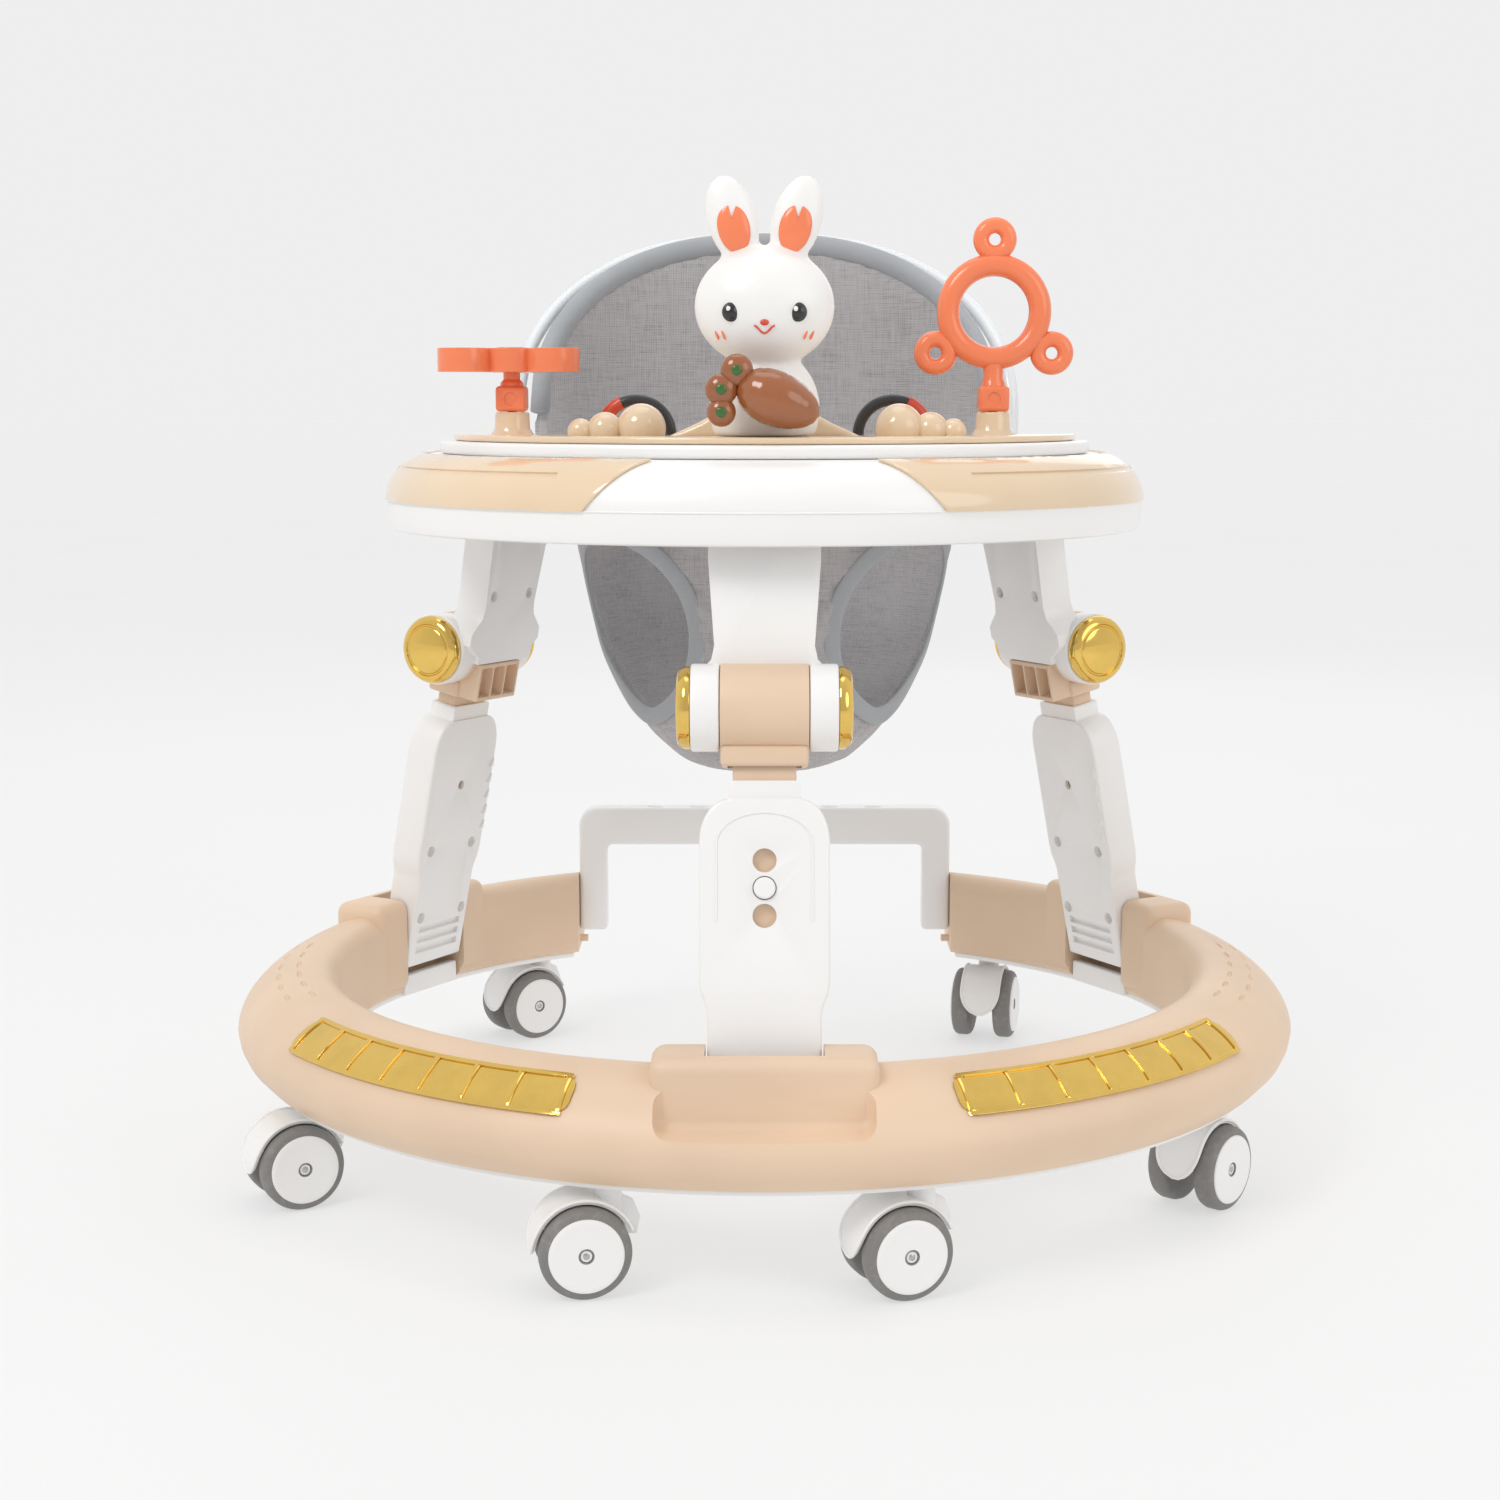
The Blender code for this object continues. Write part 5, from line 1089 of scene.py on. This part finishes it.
# %% Padded back
BACK_R, BACK_Y = HOLE_X + 27 * MM, HOLE_Y - 5 * MM
BACK_LOW, BACK_TOP = DECK + 2 * MM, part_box("seat_back")[1].z
SWEEP = 76


def back_rise(turn):
    share = min(1.0, abs(math.sin(math.radians(turn)) / math.sin(math.radians(SWEEP))))
    return (1 - share ** 2.3) ** (1 / 2.3)


def back_point(turn, radius, height):
    t = math.radians(turn)
    return Vector((radius * math.sin(t), BACK_Y + radius * math.cos(t), height))


def back_edge(turn):
    return BACK_LOW + 25 * MM + (BACK_TOP - BACK_LOW - 25 * MM) * back_rise(turn)


steps, rows = 72, 16
points, faces = [], []
for i in range(steps + 1):
    turn = -SWEEP + 2 * SWEEP * i / steps
    for half in (-5 * MM, 5 * MM):
        reach = back_edge(turn) - 2 * MM - BACK_LOW
        points += [back_point(turn, BACK_R + half, BACK_LOW + reach * j / rows) for j in range(rows + 1)]
n = rows + 1
for i in range(steps):
    a, b = i * 2 * n, (i + 1) * 2 * n
    for j in range(rows):
        faces += [(a + j, b + j, b + j + 1, a + j + 1), (a + n + j, a + n + j + 1, b + n + j + 1, b + n + j)]
    faces += [(a, a + n, b + n, b), (a + rows, b + rows, b + n + rows, a + n + rows)]
for a in (0, steps * 2 * n):
    faces.append(tuple(a + j for j in range(n)) + tuple(a + n + rows - j for j in range(n)))
slab = after(mesh_of(points, faces), "REMESH", mode="VOXEL", voxel_size=5 * MM)


def simulated(mesh, frames, pinned, cap, **settings):
    """The mesh after a short cloth simulation, with each point moved at most cap from where it was."""
    holder = bpy.data.objects.new("cloth", mesh)
    bpy.context.scene.collection.objects.link(holder)
    group = holder.vertex_groups.new(name="pin")
    group.add([v.index for v in mesh.vertices if pinned(v.co)], 1.0, "REPLACE")
    cloth = holder.modifiers.new("cloth", "CLOTH")
    for key, value in settings.items():
        setattr(cloth.settings, key, value)
    cloth.settings.vertex_group_mass = "pin"
    cloth.collision_settings.use_collision = False
    scene = bpy.context.scene
    cloth.point_cache.frame_start, cloth.point_cache.frame_end = 1, frames
    for i in range(1, frames + 1):
        scene.frame_set(i)
    graph = bpy.context.evaluated_depsgraph_get()
    made = bpy.data.meshes.new_from_object(holder.evaluated_get(graph))
    for before, now in zip(mesh.vertices, made.vertices):
        shift = now.co - before.co
        if shift.length > cap:
            now.co = before.co + shift.normalized() * cap
    bpy.data.objects.remove(holder)
    scene.frame_set(1)
    return made


slab = simulated(slab, 16, lambda co: co.z < BACK_LOW + 3 * MM, 3.2 * MM, use_pressure=True,
                 uniform_pressure_force=4.0, tension_stiffness=18.0, compression_stiffness=18.0,
                 shear_stiffness=8.0, bending_stiffness=1.0, quality=6)
slab = after(slab, "SUBSURF", levels=1, render_levels=1)
back = add("back_pad", slab, LINEN, "tray", "seat_back", AT_CENTRE, sharp=180)

# %% [markdown]
# A flat tape binds the pad's top edge, and a pale hoop stands on the deck just behind it.

# %% Edge tape and hoop
edge = [back_point(t, BACK_R, back_edge(t) - 1 * MM) for t in range(-SWEEP, SWEEP + 1, 2)]
bind = [p + CENTRE for p in edge]
tape = tube(bind, 8 * MM, 6.5 * MM, sides=14)
add("back_tape", tape, TAPE, "tray", sharp=180)
hoop_path = []
for i in range(97):
    turn = SWEEP * math.sin(math.radians(-90 + 180 * i / 96))
    height = DECK + 25.3 * MM + (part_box("backrest_hoop")[1].z - DECK - 30 * MM) * back_rise(turn)
    hoop_path.append(back_point(turn, BACK_R + 16 * MM, height))
feet = [Vector((p.x, p.y, DECK + 0.3 * MM)) for p in (hoop_path[0], hoop_path[-1])]
hoop = bead([feet[0]] + hoop_path + [feet[1]], 5 * MM)
add("hoop", hoop, HOOP, "tray", "backrest_hoop", AT_CENTRE, sharp=60)

# %% [markdown]
# ## Seat sling
#
# The sling is one skin of cloth, hung from the seat hole, with a leg opening on each side of a narrow
# front panel. It is modelled as a grid, the openings are cut to clean curves, and a short simulation with
# the top and the openings held lets the cloth between them slump into creases.

# %% Sling grid
SLING_TOP, SLING_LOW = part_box("seat_sling")[1].z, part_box("seat_sling")[0].z
LEVELS = ((0.0, 1.0), (0.33, 0.97), (0.66, 0.86), (0.82, 0.71), (0.93, 0.56), (1.0, 0.38))
LEG_X, LEG_Z, LEG_RX, LEG_RZ = TRAY_R - 128 * MM, DECK - 119 * MM, 75 * MM, 70 * MM
LEG_Y, LEG_RY = HOLE_Y - 60 * MM, 50 * MM


def sling_share(depth):
    """Width of the sling at a depth, smooth between the CAD's levels."""
    for (d0, s0), (d1, s1) in zip(LEVELS, LEVELS[1:]):
        if depth <= d1:
            part = (depth - d0) / (d1 - d0)
            return s0 + (s1 - s0) * part
    return LEVELS[-1][1]


around, down = 132, 48
points, faces = [], []
for j in range(down + 1):
    depth = j / down
    share = (sling_share(max(0, depth - 0.04)) + sling_share(depth) + sling_share(min(1, depth + 0.04))) / 3
    for i in range(around):
        turn = 2 * math.pi * i / around
        points.append(Vector(((HOLE_X - 5 * MM) * share * math.cos(turn),
                              HOLE_Y - 22 * MM * depth + (HOLE_D - 5 * MM) * share * math.sin(turn),
                              SLING_TOP - (SLING_TOP - SLING_LOW - 2 * MM) * depth)))
bottom = Vector((0, HOLE_Y - 22 * MM, SLING_LOW + 2 * MM))
lowest_row = points[down * around:]
for share in (0.75, 0.5, 0.25):
    points += [bottom + (p - bottom) * share for p in lowest_row]


def in_leg_hole(p):
    """Below 1 inside a leg opening: an elliptic tube from the front that is closed off behind LEG_Y."""
    return math.hypot((abs(p.x) - LEG_X) / LEG_RX, (p.z - LEG_Z) / LEG_RZ, max(0.0, p.y - LEG_Y) / LEG_RY)


for j in range(down + 3):
    for i in range(around):
        k = (i + 1) % around
        corners = (j * around + i, j * around + k, (j + 1) * around + k, (j + 1) * around + i)
        if min(in_leg_hole(points[c]) for c in corners) >= 0.93:
            faces.append(corners)
last = (down + 3) * around
faces.append(tuple(last + i for i in range(around)))
used = sorted({c for face in faces for c in face})
index = {c: n for n, c in enumerate(used)}
sling = mesh_of([points[c] for c in used], [[index[c] for c in face] for face in faces])
bm = bmesh.new()
bm.from_mesh(sling)
for edge in bm.edges:
    if len(edge.link_faces) == 1:
        for vert in edge.verts:
            value = in_leg_hole(vert.co)
            if value < 1.9 and vert.co.z < SLING_TOP - 20 * MM:
                middle = Vector((LEG_X if vert.co.x > 0 else -LEG_X, min(vert.co.y, LEG_Y), LEG_Z))
                vert.co = middle + (vert.co - middle) / value
bm.to_mesh(sling)
bm.free()

# %% [markdown]
# The top row and the rims of the leg openings are held. Gravity and a slight outward pressure do the rest.

# %% Sling cloth and its tapes


def held(co):
    return co.z > SLING_TOP - 6 * MM or in_leg_hole(co) < 1.03


sling = simulated(sling, 24, held, 7 * MM, use_pressure=True, uniform_pressure_force=0.6,
                  tension_stiffness=12.0, compression_stiffness=6.0, shear_stiffness=3.0,
                  bending_stiffness=0.15, shrink_min=-0.04, quality=6)


def rims_of(mesh):
    """The two leg openings' edges, as closed paths in order."""
    bm = bmesh.new()
    bm.from_mesh(mesh)
    open_edges = [e for e in bm.edges if len(e.link_faces) == 1
                  and max(v.co.z for v in e.verts) < SLING_TOP - 15 * MM]
    paths = []
    while open_edges:
        edge = open_edges.pop()
        path = [edge.verts[0], edge.verts[1]]
        growing = True
        while growing:
            growing = False
            for other in open_edges:
                if path[-1] in other.verts:
                    path.append(other.other_vert(path[-1]))
                    open_edges.remove(other)
                    growing = True
                    break
        paths.append([v.co.copy() for v in path[:-1]])
    bm.free()
    return [path for path in paths if len(path) > 20]


def smoothed(path, rounds=6):
    for _ in range(rounds):
        n = len(path)
        path = [(path[i - 1] + path[i] * 2 + path[(i + 1) % n]) / 4 for i in range(n)]
    return path


rims = rims_of(sling)
print("leg openings", [len(path) for path in rims])
cloth = after(after(sling, "SUBSURF", levels=1, render_levels=1), "SOLIDIFY", thickness=1.4 * MM, offset=0.0)
seat = add("sling_cloth", cloth, LINEN, "tray", "seat_sling", AT_CENTRE, sharp=180)
tapes = []
for i, path in enumerate(rims):
    path = [p + CENTRE for p in smoothed(path)]
    tapes.append(add(f"leg_tape_{i}", tube(path, 6 * MM, 1.8 * MM, closed=True), TAPE, "tray", sharp=180))
top_path = [Vector((x * 0.985, HOLE_Y + (y - HOLE_Y) * 0.985, SLING_TOP - 5 * MM)) + CENTRE
            for x, y in oval(-4 * MM, 96)]
tapes.append(add("seat_tape", tube(top_path, 7 * MM, 1.6 * MM, closed=True), TAPE, "tray", sharp=180))
drop = 148 * MM
depth = drop / (SLING_TOP - SLING_LOW)
share = sling_share(depth)
seam_path = []
for k in range(41):
    turn = math.radians(-114 + 48 * k / 40)
    seam_path.append(Vector(((HOLE_X - 3.5 * MM) * share * math.cos(turn),
                             HOLE_Y - 22 * MM * depth + (HOLE_D - 3.5 * MM) * share * math.sin(turn),
                             SLING_TOP - drop)) + CENTRE)
tapes.append(add("front_seam", tube(seam_path, 2.2 * MM, 1.2 * MM), TAPE, "tray", sharp=180))
for piece in [seat, *tapes]:
    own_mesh(piece)

# %% [markdown]
# ## Floor, light and camera
#
# Nothing of the CAD is shown as it is, because every node has a finer piece over it. The floor and the
# surroundings are nearly white, and the surroundings are darker in front, so that gloss and gold have
# something to reflect. The camera stands straight in front, a little above the tray.

# %% Stage


def floor_material():
    shader = Shader("pale_floor")
    cloud = shader.noise(2.0, 2.0)
    colour = shader.mix(cloud, (0.31, 0.31, 0.31), (0.33, 0.33, 0.33))
    return shader.set(Base_Color=colour, Roughness=0.7, Specular_IOR_Level=0.1, Emission_Color=(1, 1, 1),
                      Emission_Strength=0.56)


floor = bpy.data.objects.new("floor", prism([(-30, -8), (30, -8), (30, 60), (-30, 60)], -0.02, 0, "Z"))
floor.data.materials.append(floor_material())
bpy.context.scene.collection.objects.link(floor)


def area_light(name, at, size, power, aim=(0, 0, 0.3)):
    light = bpy.data.lights.new(name, "AREA")
    light.shape, light.size, light.energy = "DISK", size, power
    holder = bpy.data.objects.new(name, light)
    holder.location = at
    holder.rotation_euler = (Vector(aim) - Vector(at)).to_track_quat("-Z", "Y").to_euler()
    bpy.context.scene.collection.objects.link(holder)


area_light("key", (-1.5, -1.8, 2.4), 1.2, 27)
area_light("fill", (1.9, -1.6, 1.3), 1.6, 9)
area_light("top", (0, 0.3, 2.6), 1.6, 6)
area_light("back", (0.4, 2.6, 1.6), 2.0, 5)
world = bpy.data.worlds.new("studio")
bpy.context.scene.world = world
world.use_nodes = True
world.node_tree.nodes["Background"].inputs["Color"].default_value = (1, 1, 1, 1)
sky = world.node_tree
where = sky.nodes.new("ShaderNodeTexCoord")
split = sky.nodes.new("ShaderNodeSeparateXYZ")
level = sky.nodes.new("ShaderNodeMapRange")
sky.links.new(where.outputs["Generated"], split.inputs[0])
sky.links.new(split.outputs["Y"], level.inputs["Value"])
for name, value in (("From Min", -0.9), ("From Max", 0.1), ("To Min", 0.64), ("To Max", 0.86)):
    level.inputs[name].default_value = value
sky.links.new(level.outputs["Result"], sky.nodes["Background"].inputs["Strength"])
bpy.context.scene.view_settings.view_transform = "Standard"
camera = bpy.data.objects.new("camera", bpy.data.cameras.new("camera"))
camera.data.lens, camera.data.sensor_width = 58.8, 36
camera.data.shift_x = -0.0097
camera.location = (0, CENTRE.y - 1.6248, 0.4933)
camera.rotation_euler = (math.radians(90 - 8.14), 0, 0)
bpy.context.scene.collection.objects.link(camera)
bpy.context.scene.camera = camera
